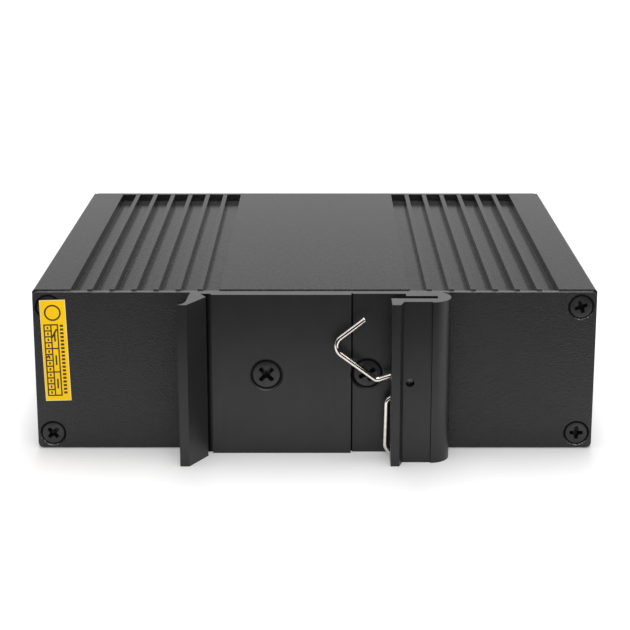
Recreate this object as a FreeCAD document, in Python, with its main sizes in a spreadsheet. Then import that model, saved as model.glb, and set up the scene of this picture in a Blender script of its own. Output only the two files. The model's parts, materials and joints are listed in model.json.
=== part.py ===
import FreeCAD, Part
import math
import os
import Sketcher
from FreeCAD import Placement, Rotation, Vector

# PoE splitter in an extruded aluminium case that clips onto a 35 mm DIN rail.
# X runs across the case, Y from the rail clip (rear) to the sockets (front), Z up.
# The origin is at the middle of the footprint, on the surface that the case lies on.

# Driving dimensions in millimetres, angles in degrees.
SIZES = {
    # case tube
    "case_width": 104.0,
    "case_height": 30.7,
    "tube_length": 80.0,
    "side_wall": 2.2,
    "deck_wall": 3.0,
    "case_edge": 0.4,
    "panel_width": 35.0,
    "groove_width": 3.1,
    "fin_width": 0.95,
    "groove_depth": 1.7,
    "edge_land": 7.0,
    "port_inset": 3.05,
    "port_bore": 2.5,
    "port_wall": 1.2,
    "guide_reach": 1.6,
    "guide_rib": 1.2,
    # end plates and their screws
    "plate_thick": 1.2,
    "plate_gap": 0.2,
    "plate_corner": 1.0,
    "end_screw_head": 4.4,
    "end_screw_play": 0.05,
    "end_screw_length": 8.0,
    "seat_gap": 0.03,
    # rail clip, depths measured out from the rear plate
    "rail_width": 35.0,
    "rail_play": 1.3,
    "hook_offset": 19.69,
    "hook_reach": 3.1,
    "hook_depth": 3.6,
    "hook_undercut": 1.17,
    "hook_groove_width": 0.8,
    "hook_groove_depth": 0.7,
    "jaw_root": 3.0,
    "jaw_lean_width": 0.37,
    "jaw_waist": 6.2,
    "jaw_nose": 1.7,
    "jaw_flare_radius": 3.0,
    "clip_reach": 8.7,
    "clip_base": 2.26,
    "clip_step_depth": 0.68,
    "clip_step_x": 6.69,
    "step_groove_width": 0.3,
    "step_groove_depth": 0.4,
    "rib_depth": 3.02,
    "slot_length": 5.7,
    "lip_thick": 2.16,
    "lip_step_depth": 0.32,
    "lip_ramp_length": 0.12,
    "lip_wall": 2.43,
    "lip_overlap": 1.46,
    "bead_width": 1.56,
    "bead_slope_width": 0.65,
    # clip screws and nuts
    "clip_screw_spacing": 18.6,
    "clip_screw_middle": 0.4,
    "clip_screw_head": 5.4,
    "clip_screw_shank": 2.9,
    "clip_screw_length": 6.0,
    "clip_screw_hole": 3.3,
    "clip_sink": 6.25,
    "nut_flats": 5.5,
    "nut_thick": 2.4,
    # pin and wire spring
    "pin_diameter": 1.5,
    "pin_fit": 0.02,
    "pin_inset": 0.7,
    "pin_floor": 0.6,
    "pin_recess": 1.2,
    "wire_diameter": 1.0,
    "wire_gap": 0.265,
    "loop_gap": 0.1,
    "leg_reach": 5.6,
    "leg_half_width": 2.2,
    "arm_reach": 10.5,
    "arm_half_width": 11.8,
    "tail_reach": 2.4,
    "tail_half_width": 13.6,
    "arm_bend_radius": 2.0,
    "leg_bend_radius": 1.2,
    "spring_tilt": 25.9,
    # sticker on the rear plate
    "sticker_width": 4.75,
    "sticker_height": 19.5,
    "sticker_thick": 0.1,
    "sticker_inset": 4.1,
    "sticker_level": 19.3,
    "sticker_tilt": 1.5,
    # circuit board
    "board_thick": 1.6,
    "board_port_gap": 0.5,
    "board_side_gap": 0.3,
    "board_end_gap": 0.5,
    "guide_play": 0.1,
    "window_gap": 0.2,
    # network sockets
    "jack_row_x": 4.0,
    "jack_spacing": 4.0,
    "jack_width": 16.0,
    "jack_height": 13.4,
    "jack_depth": 18.0,
    "jack_proud": 0.4,
    "shield_thick": 0.3,
    "insert_gap": 0.05,
    "cavity_width": 11.9,
    "cavity_height": 6.8,
    "cavity_depth": 13.0,
    "cavity_roof": 3.2,
    "latch_width": 6.3,
    "latch_height": 1.6,
    "contact_pitch": 1.02,
    "contact_width": 0.45,
    "contact_thick": 0.3,
    "contact_setback": 2.5,
    "contact_run": 9.5,
    "contact_drop": 1.8,
    # power output terminal
    "output_gap": 12.0,
    "terminal_pitch": 5.08,
    "header_end": 1.3,
    "header_height": 9.0,
    "header_depth": 12.0,
    "header_wall": 1.0,
    "header_back": 2.5,
    "header_pin": 1.0,
    "header_pin_length": 7.5,
    "plug_fit": 0.15,
    "plug_reach": 7.5,
    "plug_brow": 1.2,
    "plug_stand": 0.3,
    "plug_pin_hole": 1.4,
    "wire_entry": 2.8,
    "wire_entry_depth": 4.5,
    "release_width": 2.4,
    "release_height": 1.0,
    "release_rise": 3.6,
    # indicator lamps
    "led_gap": 6.0,
    "led_pitch": 5.0,
    "led_width": 2.0,
    "led_height": 4.0,
    "led_edge": 0.3,
    "led_level": 8.0,
    "led_proud": 0.4,
    "led_holder_depth": 4.0,
    "led_holder_edge": 2.6,
    # parts on the board
    "row_gap": 2.5,
    "lan_width": 12.6,
    "lan_depth": 9.6,
    "lan_height": 6.0,
    "bridge_width": 8.2,
    "bridge_depth": 6.4,
    "bridge_height": 2.6,
    "bridge_spacing": 2.0,
    "chip_width": 9.9,
    "chip_depth": 3.9,
    "chip_height": 1.6,
    "lead_reach": 1.1,
    "lead_thick": 0.25,
    "lead_width": 0.45,
    "lead_pitch": 1.27,
    "package_edge": 0.3,
    "power_width": 6.6,
    "power_depth": 6.1,
    "power_height": 2.3,
    "power_tab": 1.2,
    "core_width": 20.0,
    "core_length": 20.0,
    "core_height": 7.0,
    "core_leg": 7.0,
    "core_yoke": 3.2,
    "core_side_leg": 2.6,
    "bobbin_fit": 0.12,
    "bobbin_wall": 0.7,
    "bobbin_rim": 0.4,
    "winding_build": 2.2,
    "capacitor_width": 7.3,
    "capacitor_depth": 4.3,
    "capacitor_height": 4.0,
    "choke_width": 10.0,
    "choke_height": 6.0,
    "block_corner": 0.8,
    "pad_width": 24.0,
    "pad_length": 24.0,
}

LED_COUNT = 2
TERMINAL_COUNT = 2
CONTACT_COUNT = 8
LEAD_COUNT = 2
BRIDGE_COUNT = 2
WIRE_SIDE_COUNT = 8
NUT_SIDE_COUNT = 6
PORT_SIDE_COUNT = 8
FACE_REAR = Rotation()
FULL_TURN = 360
FACE_FRONT = Rotation(Vector(0, 0, 1), FULL_TURN / 2)
SINK_ANGLE = 90
RIGHT_ANGLE = 90
HAIR = 1e-4

document = FreeCAD.newDocument("poe_splitter")
sheet = document.addObject("Spreadsheet::Sheet", "Sizes")
for row, (alias, number) in enumerate(SIZES.items(), start=1):
    sheet.set(f"A{row}", alias)
    sheet.set(f"B{row}", str(number))
    sheet.setAlias(f"B{row}", alias)
document.recompute()

subparts = []


def size(alias):
    """Number held by one cell of the sheet."""
    return float(sheet.get(alias))


# Places along Y, with the footprint's middle at zero.
REAR_FACE = "((Sizes.clip_reach - Sizes.plug_reach - Sizes.tube_length) / 2 - Sizes.plate_thick)"
TUBE_MIDDLE = "((Sizes.clip_reach - Sizes.plug_reach) / 2)"
TUBE_FRONT = f"({TUBE_MIDDLE} + Sizes.tube_length / 2)"
FRONT_FACE = f"({TUBE_FRONT} + Sizes.plate_thick)"

# Places along Z.
MID_HEIGHT = "(Sizes.case_height / 2)"
PORT_RADIUS = "(Sizes.port_bore / 2 + Sizes.port_wall)"
END_SINK = "(Sizes.port_bore + 2 * Sizes.plate_thick)"
BOARD_BOTTOM = f"(Sizes.port_inset + {PORT_RADIUS} + Sizes.board_port_gap)"
BOARD_TOP = f"({BOARD_BOTTOM} + Sizes.board_thick)"

# Places across the front, measured along X.
HALF_WIDTH = "(Sizes.case_width / 2)"
CAVITY_HALF = f"({HALF_WIDTH} - Sizes.side_wall)"
PORT_X = f"({HALF_WIDTH} - Sizes.port_inset)"
PORT_Z = f"({MID_HEIGHT} - Sizes.port_inset)"
HALF_STEP = "((Sizes.jack_width + Sizes.jack_spacing) / 2)"
POE_X = f"(Sizes.jack_row_x + {HALF_STEP})"
DATA_X = f"(Sizes.jack_row_x - {HALF_STEP})"
HEADER_WIDTH = f"({TERMINAL_COUNT} * Sizes.terminal_pitch + 2 * Sizes.header_end)"
OUTPUT_X = f"({DATA_X} - Sizes.jack_width / 2 - Sizes.output_gap - {HEADER_WIDTH} / 2)"
LED_X = f"({POE_X} + Sizes.jack_width / 2 + Sizes.led_gap)"

# Rail clip: places along X, and depths out from the rear plate.
HOOK_X = "(-Sizes.hook_offset)"
RIB_X = f"({HOOK_X} + Sizes.rail_width + Sizes.rail_play)"
LIP_X = f"({HOOK_X} + Sizes.rail_width - Sizes.lip_overlap)"
SLOT_END_X = f"({RIB_X} + Sizes.slot_length)"
CLIP_END_X = f"({SLOT_END_X} + Sizes.lip_wall)"
PIN_X = f"({RIB_X} + Sizes.pin_inset)"
LOW_BASE = "(Sizes.clip_base - Sizes.clip_step_depth)"
SLOT_OUT = "(Sizes.rib_depth + Sizes.wire_diameter + 2 * Sizes.wire_gap)"
LIP_OUT = f"({SLOT_OUT} + Sizes.lip_thick)"
WIRE_OUT = "(Sizes.rib_depth + Sizes.wire_gap + Sizes.wire_diameter / 2)"
END_ROUND = f"(({LIP_OUT} + Sizes.lip_step_depth) / 2)"
LEFT_SCREW_X = "(Sizes.clip_screw_middle - Sizes.clip_screw_spacing / 2)"
RIGHT_SCREW_X = "(Sizes.clip_screw_middle + Sizes.clip_screw_spacing / 2)"

# Rows of parts on the board, counted back from the sockets.
JACK_BACK = f"({FRONT_FACE} + Sizes.jack_proud - Sizes.jack_depth)"
LAN_Y = f"({JACK_BACK} - Sizes.row_gap - Sizes.lan_depth / 2)"
LAN_BACK = f"({LAN_Y} - Sizes.lan_depth / 2)"
CORE_Y = f"({LAN_BACK} - Sizes.row_gap - Sizes.core_length / 2)"
HEADER_BACK = f"({FRONT_FACE} - Sizes.header_depth)"


def place(thing, x="0", y="0", z="0", turn=FACE_REAR):
    """Turn an object and tie its place to expressions."""
    thing.Placement = Placement(Vector(), turn)
    for axis, expression in zip("xyz", (x, y, z)):
        thing.setExpression(f"Placement.Base.{axis}", expression)
    return thing


def keep(thing, label):
    """Label a finished sub-part, which names its file."""
    thing.Label = label
    subparts.append(thing)
    return thing


def group(label, copies, shift=("0", "0", "0"), turn=FACE_REAR):
    """One sub-part of separate solids: copies of forms, each (form, x, y, z, turn)."""
    links = []
    for form, x, y, z, copy_turn in copies:
        link = document.addObject("App::Link", f"{label}_copy")
        link.LinkedObject = form
        links.append(place(link, x, y, z, copy_turn))
    compound = document.addObject("Part::Compound", label)
    compound.Links = links
    return keep(place(compound, *shift, turn), label)


def new_body(label):
    return document.addObject("PartDesign::Body", label)


def origin_feature(body, role):
    return next(feature for feature in body.Origin.OriginFeatures if feature.Role == role)


def new_sketch(body, name, plane="XZ_Plane", lift="0"):
    """Sketch on one of the body's own planes, lifted along that plane's normal."""
    sketch = body.newObject("Sketcher::SketchObject", name)
    sketch.AttachmentSupport = [(origin_feature(body, plane), "")]
    sketch.MapMode = "FlatFace"
    sketch.setExpression("AttachmentOffset.Base.z", lift)
    return sketch


def fix_point(sketch, geometry, vertex, across, up):
    """Tie one sketch point to two expressions."""
    for kind, expression in (("DistanceX", across), ("DistanceY", up)):
        number = float(sketch.evalExpression(expression))
        index = sketch.addConstraint(Sketcher.Constraint(kind, -1, 1, geometry, vertex, number))
        sketch.setExpression(f"Constraints[{index}]", expression)


def fix_radius(sketch, geometry, radius):
    number = float(sketch.evalExpression(radius))
    index = sketch.addConstraint(Sketcher.Constraint("Radius", geometry, number))
    sketch.setExpression(f"Constraints[{index}]", radius)


def sketch_point(sketch, across, up):
    return Vector(float(sketch.evalExpression(across)), float(sketch.evalExpression(up)), 0)


def outline(sketch, corners, arcs=None):
    """Closed outline through corners; arcs maps a corner's index to (radius, side) of the run after it."""
    arcs = arcs or {}
    points = [sketch_point(sketch, across, up) for across, up in corners]
    runs = []
    for index, start in enumerate(points):
        finish = points[(index + 1) % len(points)]
        if index in arcs:
            radius, side = arcs[index]
            chord = finish - start
            half = chord.Length / 2
            bend = float(sketch.evalExpression(radius))
            rise = bend - math.sqrt(max(bend * bend - half * half, 0))
            normal = Vector(-chord.y, chord.x, 0).normalize()
            crown = (start + finish) / 2 + normal * rise * side
            runs.append(sketch.addGeometry(Part.Arc(start, crown, finish), False))
        else:
            runs.append(sketch.addGeometry(Part.LineSegment(start, finish), False))
    ends = []
    for run, start in zip(runs, points):
        near = (sketch.getPoint(run, 1) - start).Length < (sketch.getPoint(run, 2) - start).Length
        ends.append((1, 2) if near else (2, 1))
    for index, run in enumerate(runs):
        follower = (index + 1) % len(runs)
        joint = Sketcher.Constraint("Coincident", run, ends[index][1], runs[follower], ends[follower][0])
        sketch.addConstraint(joint)
    for index, (across, up) in enumerate(corners):
        fix_point(sketch, runs[index], ends[index][0], across, up)
    for index, (radius, side) in arcs.items():
        fix_radius(sketch, runs[index], radius)
    return sketch


def rectangle(sketch, left, low, right, high):
    return outline(sketch, [(left, low), (right, low), (right, high), (left, high)])


def circle(sketch, across, up, radius):
    centre = sketch_point(sketch, across, up)
    start_radius = float(sketch.evalExpression(radius))
    geometry = sketch.addGeometry(Part.Circle(centre, Vector(0, 0, 1), start_radius), False)
    fix_point(sketch, geometry, 3, across, up)
    fix_radius(sketch, geometry, radius)


def pad(body, sketch, length, both=False, back=False):
    """Extrude a sketch along its plane's normal, against it (back) or both ways."""
    feature = body.newObject("PartDesign::Pad", f"{sketch.Name}_pad")
    feature.Profile = sketch
    feature.SideType = "Symmetric" if both else "One side"
    feature.Reversed = back
    feature.setExpression("Length", length)
    document.recompute()
    return feature


def pocket(body, sketch, depth=None, back=False):
    """Cut a sketch against its plane's normal or along it (back); with no depth, right through."""
    before = body.Shape.Volume
    feature = body.newObject("PartDesign::Pocket", f"{sketch.Name}_cut")
    feature.Profile = sketch
    feature.Reversed = back
    if depth is None:
        feature.SideType = "Symmetric"
        feature.Type = "ThroughAll"
    else:
        feature.setExpression("Length", depth)
    document.recompute()
    if not feature.Shape.Volume < before:
        raise RuntimeError(f"{sketch.Name} cuts nothing")
    return feature


def revolve(body, sketch, axis="V_Axis"):
    feature = body.newObject("PartDesign::Revolution", f"{sketch.Name}_turned")
    feature.Profile = sketch
    feature.ReferenceAxis = (sketch, [axis])
    feature.Angle = FULL_TURN
    document.recompute()
    return feature


def edges_where(feature, test):
    """Names of a feature's edges that pass a test."""
    return [f"Edge{number}" for number, edge in enumerate(feature.Shape.Edges, start=1) if test(edge)]


def runs_along_y(edge):
    return edge.BoundBox.YLength > edge.BoundBox.XLength + edge.BoundBox.ZLength


def stands_upright(edge):
    return edge.BoundBox.ZLength > edge.BoundBox.XLength + edge.BoundBox.YLength


def dress_edges(body, base, edges, kind, amount):
    """Fillet or Chamfer named edges of a feature."""
    feature = body.newObject(f"PartDesign::{kind}", f"{base.Name}_{kind}")
    feature.Base = (base, edges)
    feature.setExpression("Radius" if kind == "Fillet" else "Size", amount)
    document.recompute()
    return feature


def mirror_both_ways(body, feature, name, row=None):
    """Repeat a feature across the body's middle planes, after an optional row of copies."""
    copies = body.newObject("PartDesign::MultiTransform", name)
    copies.Originals = [feature]
    steps = [row] if row else []
    for plane in ("YZ_Plane", "XY_Plane"):
        mirror = body.newObject("PartDesign::Mirrored", f"{name}_{plane}")
        mirror.MirrorPlane = (origin_feature(body, plane), [""])
        steps.append(mirror)
    copies.Transformations = steps
    body.Tip = copies
    document.recompute()


def sunk_hole(body, sketch, hole, sink):
    """Countersunk through holes at a sketch's circles."""
    feature = body.newObject("PartDesign::Hole", f"{sketch.Name}_sunk")
    feature.Profile = sketch
    document.recompute()
    feature.DepthType = "ThroughAll"
    feature.setExpression("Diameter", hole)
    feature.HoleCutType = "Countersink"
    feature.HoleCutCustomValues = True
    feature.setExpression("HoleCutDiameter", sink)
    feature.HoleCutCountersinkAngle = SINK_ANGLE
    document.recompute()
    return feature


def polygon(sketch, across, up, flats, count):
    """Regular polygon of a given width across its flats."""
    reach = 1 / (2 * math.cos(math.pi / count))
    corners = []
    for number in range(count):
        angle = math.pi * (2 * number + 1) / count
        corners.append((f"{across} + {reach * math.cos(angle):.6f} * {flats}",
                        f"{up} + {reach * math.sin(angle):.6f} * {flats}"))
    return outline(sketch, corners)


def make_case_tube():
    """Extrusion with eight-sided screw ports, board guides and channels on both wide faces."""
    body = new_body("case_tube")
    section = new_sketch(body, "tube_section")
    rectangle(section, f"-{HALF_WIDTH}", f"-{MID_HEIGHT}", HALF_WIDTH, MID_HEIGHT)
    block = pad(body, section, "Sizes.tube_length", both=True)
    dress_edges(body, block, edges_where(block, runs_along_y), "Chamfer", "Sizes.case_edge")
    cavity_top = f"({MID_HEIGHT} - Sizes.deck_wall)"
    cavity = new_sketch(body, "tube_cavity")
    rectangle(cavity, f"-{CAVITY_HALF}", f"-{cavity_top}", CAVITY_HALF, cavity_top)
    pocket(body, cavity)
    add_port_bosses(body)
    guides = new_sketch(body, "board_guides")
    lower = f"({BOARD_BOTTOM} - {MID_HEIGHT} - Sizes.guide_play)"
    upper = f"({BOARD_TOP} - {MID_HEIGHT} + Sizes.guide_play)"
    inner = f"({CAVITY_HALF} - Sizes.guide_reach)"
    root = f"({CAVITY_HALF} + Sizes.side_wall / 2)"
    for low, high in ((f"{lower} - Sizes.guide_rib", lower), (upper, f"{upper} + Sizes.guide_rib")):
        rectangle(guides, f"-{root}", low, f"-{inner}", high)
        rectangle(guides, inner, low, root, high)
    pad(body, guides, "Sizes.tube_length", both=True)
    bores = new_sketch(body, "port_bores")
    for x in (f"-{PORT_X}", PORT_X):
        for z in (f"-{PORT_Z}", PORT_Z):
            polygon(bores, x, z, "Sizes.port_bore", PORT_SIDE_COUNT)
    pocket(body, bores)
    add_channels(body)
    keep(place(body, "0", TUBE_MIDDLE, MID_HEIGHT), "case_tube")


def add_port_bosses(body):
    """Square boss in each corner of the tube, round its screw port."""
    bosses = new_sketch(body, "port_bosses")
    near_x = f"({PORT_X} - {PORT_RADIUS})"
    far_x = f"({HALF_WIDTH} - Sizes.side_wall / 2)"
    near_z = f"({PORT_Z} - {PORT_RADIUS})"
    far_z = f"({MID_HEIGHT} - Sizes.deck_wall / 2)"
    for left, right in ((f"-{far_x}", f"-{near_x}"), (near_x, far_x)):
        for low, high in ((f"-{far_z}", f"-{near_z}"), (near_z, far_z)):
            rectangle(bosses, left, low, right, high)
    pad(body, bosses, "Sizes.tube_length", both=True)


def add_channels(body):
    """Rows of channels on both sides of the centre panel, on top and underneath."""
    pitch = "(Sizes.groove_width + Sizes.fin_width)"
    first = "(Sizes.panel_width / 2)"
    room = f"({HALF_WIDTH} - Sizes.edge_land - {first} + Sizes.fin_width)"
    channel = new_sketch(body, "channel")
    floor_level = f"({MID_HEIGHT} - Sizes.groove_depth)"
    overshoot = f"({MID_HEIGHT} + Sizes.groove_depth)"
    rectangle(channel, first, floor_level, f"{first} + Sizes.groove_width", overshoot)
    cut = pocket(body, channel)
    row = body.newObject("PartDesign::LinearPattern", "channel_row")
    row.Direction = (channel, ["H_Axis"])
    row.Mode = "Spacing"
    row.setExpression("Offset", pitch)
    row.setExpression("Occurrences", f"floor({room} / {pitch})")
    mirror_both_ways(body, cut, "channels", row)


def end_plate(label):
    """Sheet with rounded corners, countersunk right through over each screw port; outer face at local Y 0."""
    body = new_body(label)
    half_width = f"({HALF_WIDTH} - Sizes.plate_gap)"
    half_height = f"({MID_HEIGHT} - Sizes.plate_gap)"
    face = new_sketch(body, f"{label}_face")
    rectangle(face, f"-{half_width}", f"-{half_height}", half_width, half_height)
    sheet_metal = pad(body, face, "Sizes.plate_thick", back=True)
    dress_edges(body, sheet_metal, edges_where(sheet_metal, runs_along_y), "Fillet", "Sizes.plate_corner")
    sink = body.newObject("PartDesign::SubtractiveCone", f"{label}_sink")
    sink.setExpression("Radius1", f"{END_SINK} / 2")
    sink.setExpression("Radius2", "Sizes.port_bore / 2")
    sink.setExpression("Height", "Sizes.plate_thick")
    into_plate = Rotation(Vector(1, 0, 0), -RIGHT_ANGLE)
    place(sink, PORT_X, "0", PORT_Z, into_plate)
    document.recompute()
    mirror_both_ways(body, sink, f"{label}_sinks")
    return body


def make_rear_plate():
    body = end_plate("rear_plate")
    holes = new_sketch(body, "clip_screw_holes")
    for x in (LEFT_SCREW_X, RIGHT_SCREW_X):
        circle(holes, x, "0", "Sizes.clip_screw_hole / 2")
    pocket(body, holes, "Sizes.plate_thick")
    keep(place(body, "0", REAR_FACE, MID_HEIGHT), "rear_plate")


def make_front_plate():
    """Front plate; it is turned to face +Y, so its own X runs the other way."""
    body = end_plate("front_plate")
    windows = new_sketch(body, "socket_windows")
    sill = f"({BOARD_TOP} - {MID_HEIGHT} - Sizes.window_gap)"
    jack_top = f"({BOARD_TOP} + Sizes.jack_height - {MID_HEIGHT} + Sizes.window_gap)"
    jack_half = "(Sizes.jack_width / 2 + Sizes.window_gap)"
    for x in (POE_X, DATA_X):
        rectangle(windows, f"-{x} - {jack_half}", sill, f"-{x} + {jack_half}", jack_top)
    header_top = f"({BOARD_TOP} + Sizes.header_height - {MID_HEIGHT} + Sizes.window_gap)"
    header_half = f"({HEADER_WIDTH} / 2 + Sizes.window_gap)"
    rectangle(windows, f"-{OUTPUT_X} - {header_half}", sill, f"-{OUTPUT_X} + {header_half}", header_top)
    for number in range(LED_COUNT):
        led_x = f"(-({LED_X} + {number} * Sizes.led_pitch))"
        led_z = f"({BOARD_TOP} + Sizes.led_level - {MID_HEIGHT})"
        led_half = "(Sizes.led_width / 2 + Sizes.window_gap)"
        led_rise = "(Sizes.led_height / 2 + Sizes.window_gap)"
        rectangle(windows, f"{led_x} - {led_half}", f"{led_z} - {led_rise}",
                  f"{led_x} + {led_half}", f"{led_z} + {led_rise}")
    pocket(body, windows, "Sizes.plate_thick")
    keep(place(body, "0", FRONT_FACE, MID_HEIGHT, FACE_FRONT), "front_plate")


def screw_form(name, head, shank, length):
    """Countersunk screw; its head lies at local Y 0 and its shank runs along +Y."""
    body = new_body(name)
    profile = new_sketch(body, f"{name}_profile", "XY_Plane")
    neck = f"(({head} - {shank}) / 2)"
    corners = [
        ("0", "0"),
        (f"{head} / 2", "0"),
        (f"{shank} / 2", neck),
        (f"{shank} / 2", length),
        ("0", length),
    ]
    revolve(body, outline(profile, corners))
    return body


def make_end_screws():
    """Four screws for each end plate, sunk into their countersinks."""
    shank = "(Sizes.port_bore - 2 * Sizes.end_screw_play)"
    form = screw_form("end_screw", "Sizes.end_screw_head", shank, "Sizes.end_screw_length")
    seat = f"(({END_SINK} - Sizes.end_screw_head) / 2 - Sizes.seat_gap)"
    copies = [(form, x, seat, z, FACE_REAR) for x in (f"-{PORT_X}", PORT_X) for z in (f"-{PORT_Z}", PORT_Z)]
    group("rear_plate_screws", copies, ("0", REAR_FACE, MID_HEIGHT), FACE_REAR)
    group("front_plate_screws", copies, ("0", FRONT_FACE, MID_HEIGHT), FACE_FRONT)


def make_din_clip():
    """Extruded clip: hooked jaw, base with a step, grooves at jaw and step, lip slotted for the spring."""
    body = new_body("din_clip")
    jaw_left = f"({HOOK_X} - Sizes.jaw_root)"
    nose_right = f"({HOOK_X} - Sizes.hook_reach)"
    hook_groove_right = f"({HOOK_X} + Sizes.hook_groove_width)"
    hook_groove_floor = "(Sizes.clip_base - Sizes.hook_groove_depth)"
    bead_right = f"({LIP_X} + Sizes.bead_width)"
    round_x = f"({CLIP_END_X} - {END_ROUND})"
    step_groove_right = "(Sizes.clip_step_x + Sizes.step_groove_width)"
    step_groove_floor = f"({LOW_BASE} - Sizes.step_groove_depth)"
    corners = [
        (jaw_left, "0"),
        (f"{jaw_left} - Sizes.jaw_lean_width", "-Sizes.jaw_waist"),
        (f"{nose_right} - Sizes.jaw_nose", "-Sizes.clip_reach"),
        (nose_right, "-Sizes.clip_reach"),
        (HOOK_X, "-Sizes.hook_depth"),
        (f"{HOOK_X} - Sizes.hook_undercut", f"-{hook_groove_floor}"),
        (hook_groove_right, f"-{hook_groove_floor}"),
        (hook_groove_right, "-Sizes.clip_base"),
        ("Sizes.clip_step_x", "-Sizes.clip_base"),
        ("Sizes.clip_step_x", f"-{step_groove_floor}"),
        (step_groove_right, f"-{step_groove_floor}"),
        (step_groove_right, f"-{LOW_BASE}"),
        (RIB_X, f"-{LOW_BASE}"),
        (RIB_X, "-Sizes.rib_depth"),
        (SLOT_END_X, "-Sizes.rib_depth"),
        (SLOT_END_X, f"-{SLOT_OUT}"),
        (LIP_X, f"-{SLOT_OUT}"),
        (LIP_X, "-Sizes.clip_reach"),
        (bead_right, "-Sizes.clip_reach"),
        (f"{bead_right} + Sizes.bead_slope_width", f"-{LIP_OUT}"),
        (f"{round_x} - Sizes.lip_ramp_length", f"-{LIP_OUT}"),
        (round_x, f"-2 * {END_ROUND}"),
        (CLIP_END_X, f"-{END_ROUND}"),
        (round_x, "0"),
    ]
    flare = corners.index((f"{jaw_left} - Sizes.jaw_lean_width", "-Sizes.jaw_waist"))
    tip = corners.index((CLIP_END_X, f"-{END_ROUND}"))
    quarter = (END_ROUND, -1)
    arcs = {flare: ("Sizes.jaw_flare_radius", 1), tip - 1: quarter, tip: quarter}
    profile = outline(new_sketch(body, "clip_profile", "XY_Plane"), corners, arcs)
    pad(body, profile, "Sizes.case_height")
    left_hole = new_sketch(body, "left_clip_hole", lift="Sizes.clip_base")
    circle(left_hole, LEFT_SCREW_X, MID_HEIGHT, "Sizes.clip_screw_hole / 2")
    sunk_hole(body, left_hole, "Sizes.clip_screw_hole", "Sizes.clip_sink")
    step_relief = new_sketch(body, "step_relief", lift="Sizes.clip_base")
    circle(step_relief, RIGHT_SCREW_X, MID_HEIGHT, "Sizes.clip_sink / 2")
    pocket(body, step_relief, "Sizes.clip_step_depth")
    right_hole = new_sketch(body, "right_clip_hole", lift=LOW_BASE)
    circle(right_hole, RIGHT_SCREW_X, MID_HEIGHT, "Sizes.clip_screw_hole / 2")
    sunk_hole(body, right_hole, "Sizes.clip_screw_hole", "Sizes.clip_sink")
    pin_hole = new_sketch(body, "pin_hole", lift=LIP_OUT)
    circle(pin_hole, PIN_X, MID_HEIGHT, "Sizes.pin_diameter / 2 + Sizes.pin_fit")
    pocket(body, pin_hole, f"{LIP_OUT} - Sizes.pin_floor")
    keep(place(body, "0", REAR_FACE, "0"), "din_clip")


def make_clip_fasteners():
    """Two countersunk screws through clip and plate, and their nuts behind the plate."""
    form = screw_form("clip_screw", "Sizes.clip_screw_head", "Sizes.clip_screw_shank",
                      "Sizes.clip_screw_length")
    seat = "((Sizes.clip_sink - Sizes.clip_screw_head) / 2 - Sizes.seat_gap)"
    copies = [
        (form, LEFT_SCREW_X, f"{seat} - Sizes.clip_base", "0", FACE_REAR),
        (form, RIGHT_SCREW_X, f"{seat} - {LOW_BASE}", "0", FACE_REAR),
    ]
    group("clip_screws", copies, ("0", REAR_FACE, MID_HEIGHT))
    nut = new_body("clip_nut")
    section = new_sketch(nut, "nut_section")
    polygon(section, "0", "0", "Sizes.nut_flats", NUT_SIDE_COUNT)
    circle(section, "0", "0", "Sizes.clip_screw_shank / 2 + Sizes.end_screw_play")
    pad(nut, section, "Sizes.nut_thick", back=True)
    copies = [(nut, x, "Sizes.plate_thick", "0", FACE_REAR) for x in (LEFT_SCREW_X, RIGHT_SCREW_X)]
    group("clip_nuts", copies, ("0", REAR_FACE, MID_HEIGHT))


def make_spring_pin():
    """Pin pressed through the lip and across the slot."""
    pin = document.addObject("Part::Cylinder", "spring_pin")
    pin.setExpression("Radius", "Sizes.pin_diameter / 2")
    pin.setExpression("Height", f"{LIP_OUT} - Sizes.pin_recess - Sizes.pin_floor")
    away_from_plate = Rotation(Vector(1, 0, 0), RIGHT_ANGLE)
    keep(place(pin, PIN_X, f"{REAR_FACE} - Sizes.pin_floor", MID_HEIGHT, away_from_plate), "spring_pin")


def bent_path(points, radii):
    """Edges of a wire through points, with an arc of the given radius at each inner point."""
    edges = []
    start = points[0]
    for before, corner, after, radius in zip(points, points[1:], points[2:], radii):
        back = (before - corner).normalize()
        ahead = (after - corner).normalize()
        half_angle = back.getAngle(ahead) / 2
        run = radius / math.tan(half_angle)
        centre = corner + (back + ahead).normalize() * (radius / math.sin(half_angle))
        crown = centre + (corner - centre).normalize() * radius
        edges.append(Part.LineSegment(start, corner + back * run).toShape())
        edges.append(Part.Arc(corner + back * run, crown, corner + ahead * run).toShape())
        start = corner + ahead * run
    edges.append(Part.LineSegment(start, points[-1]).toShape())
    return edges


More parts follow.
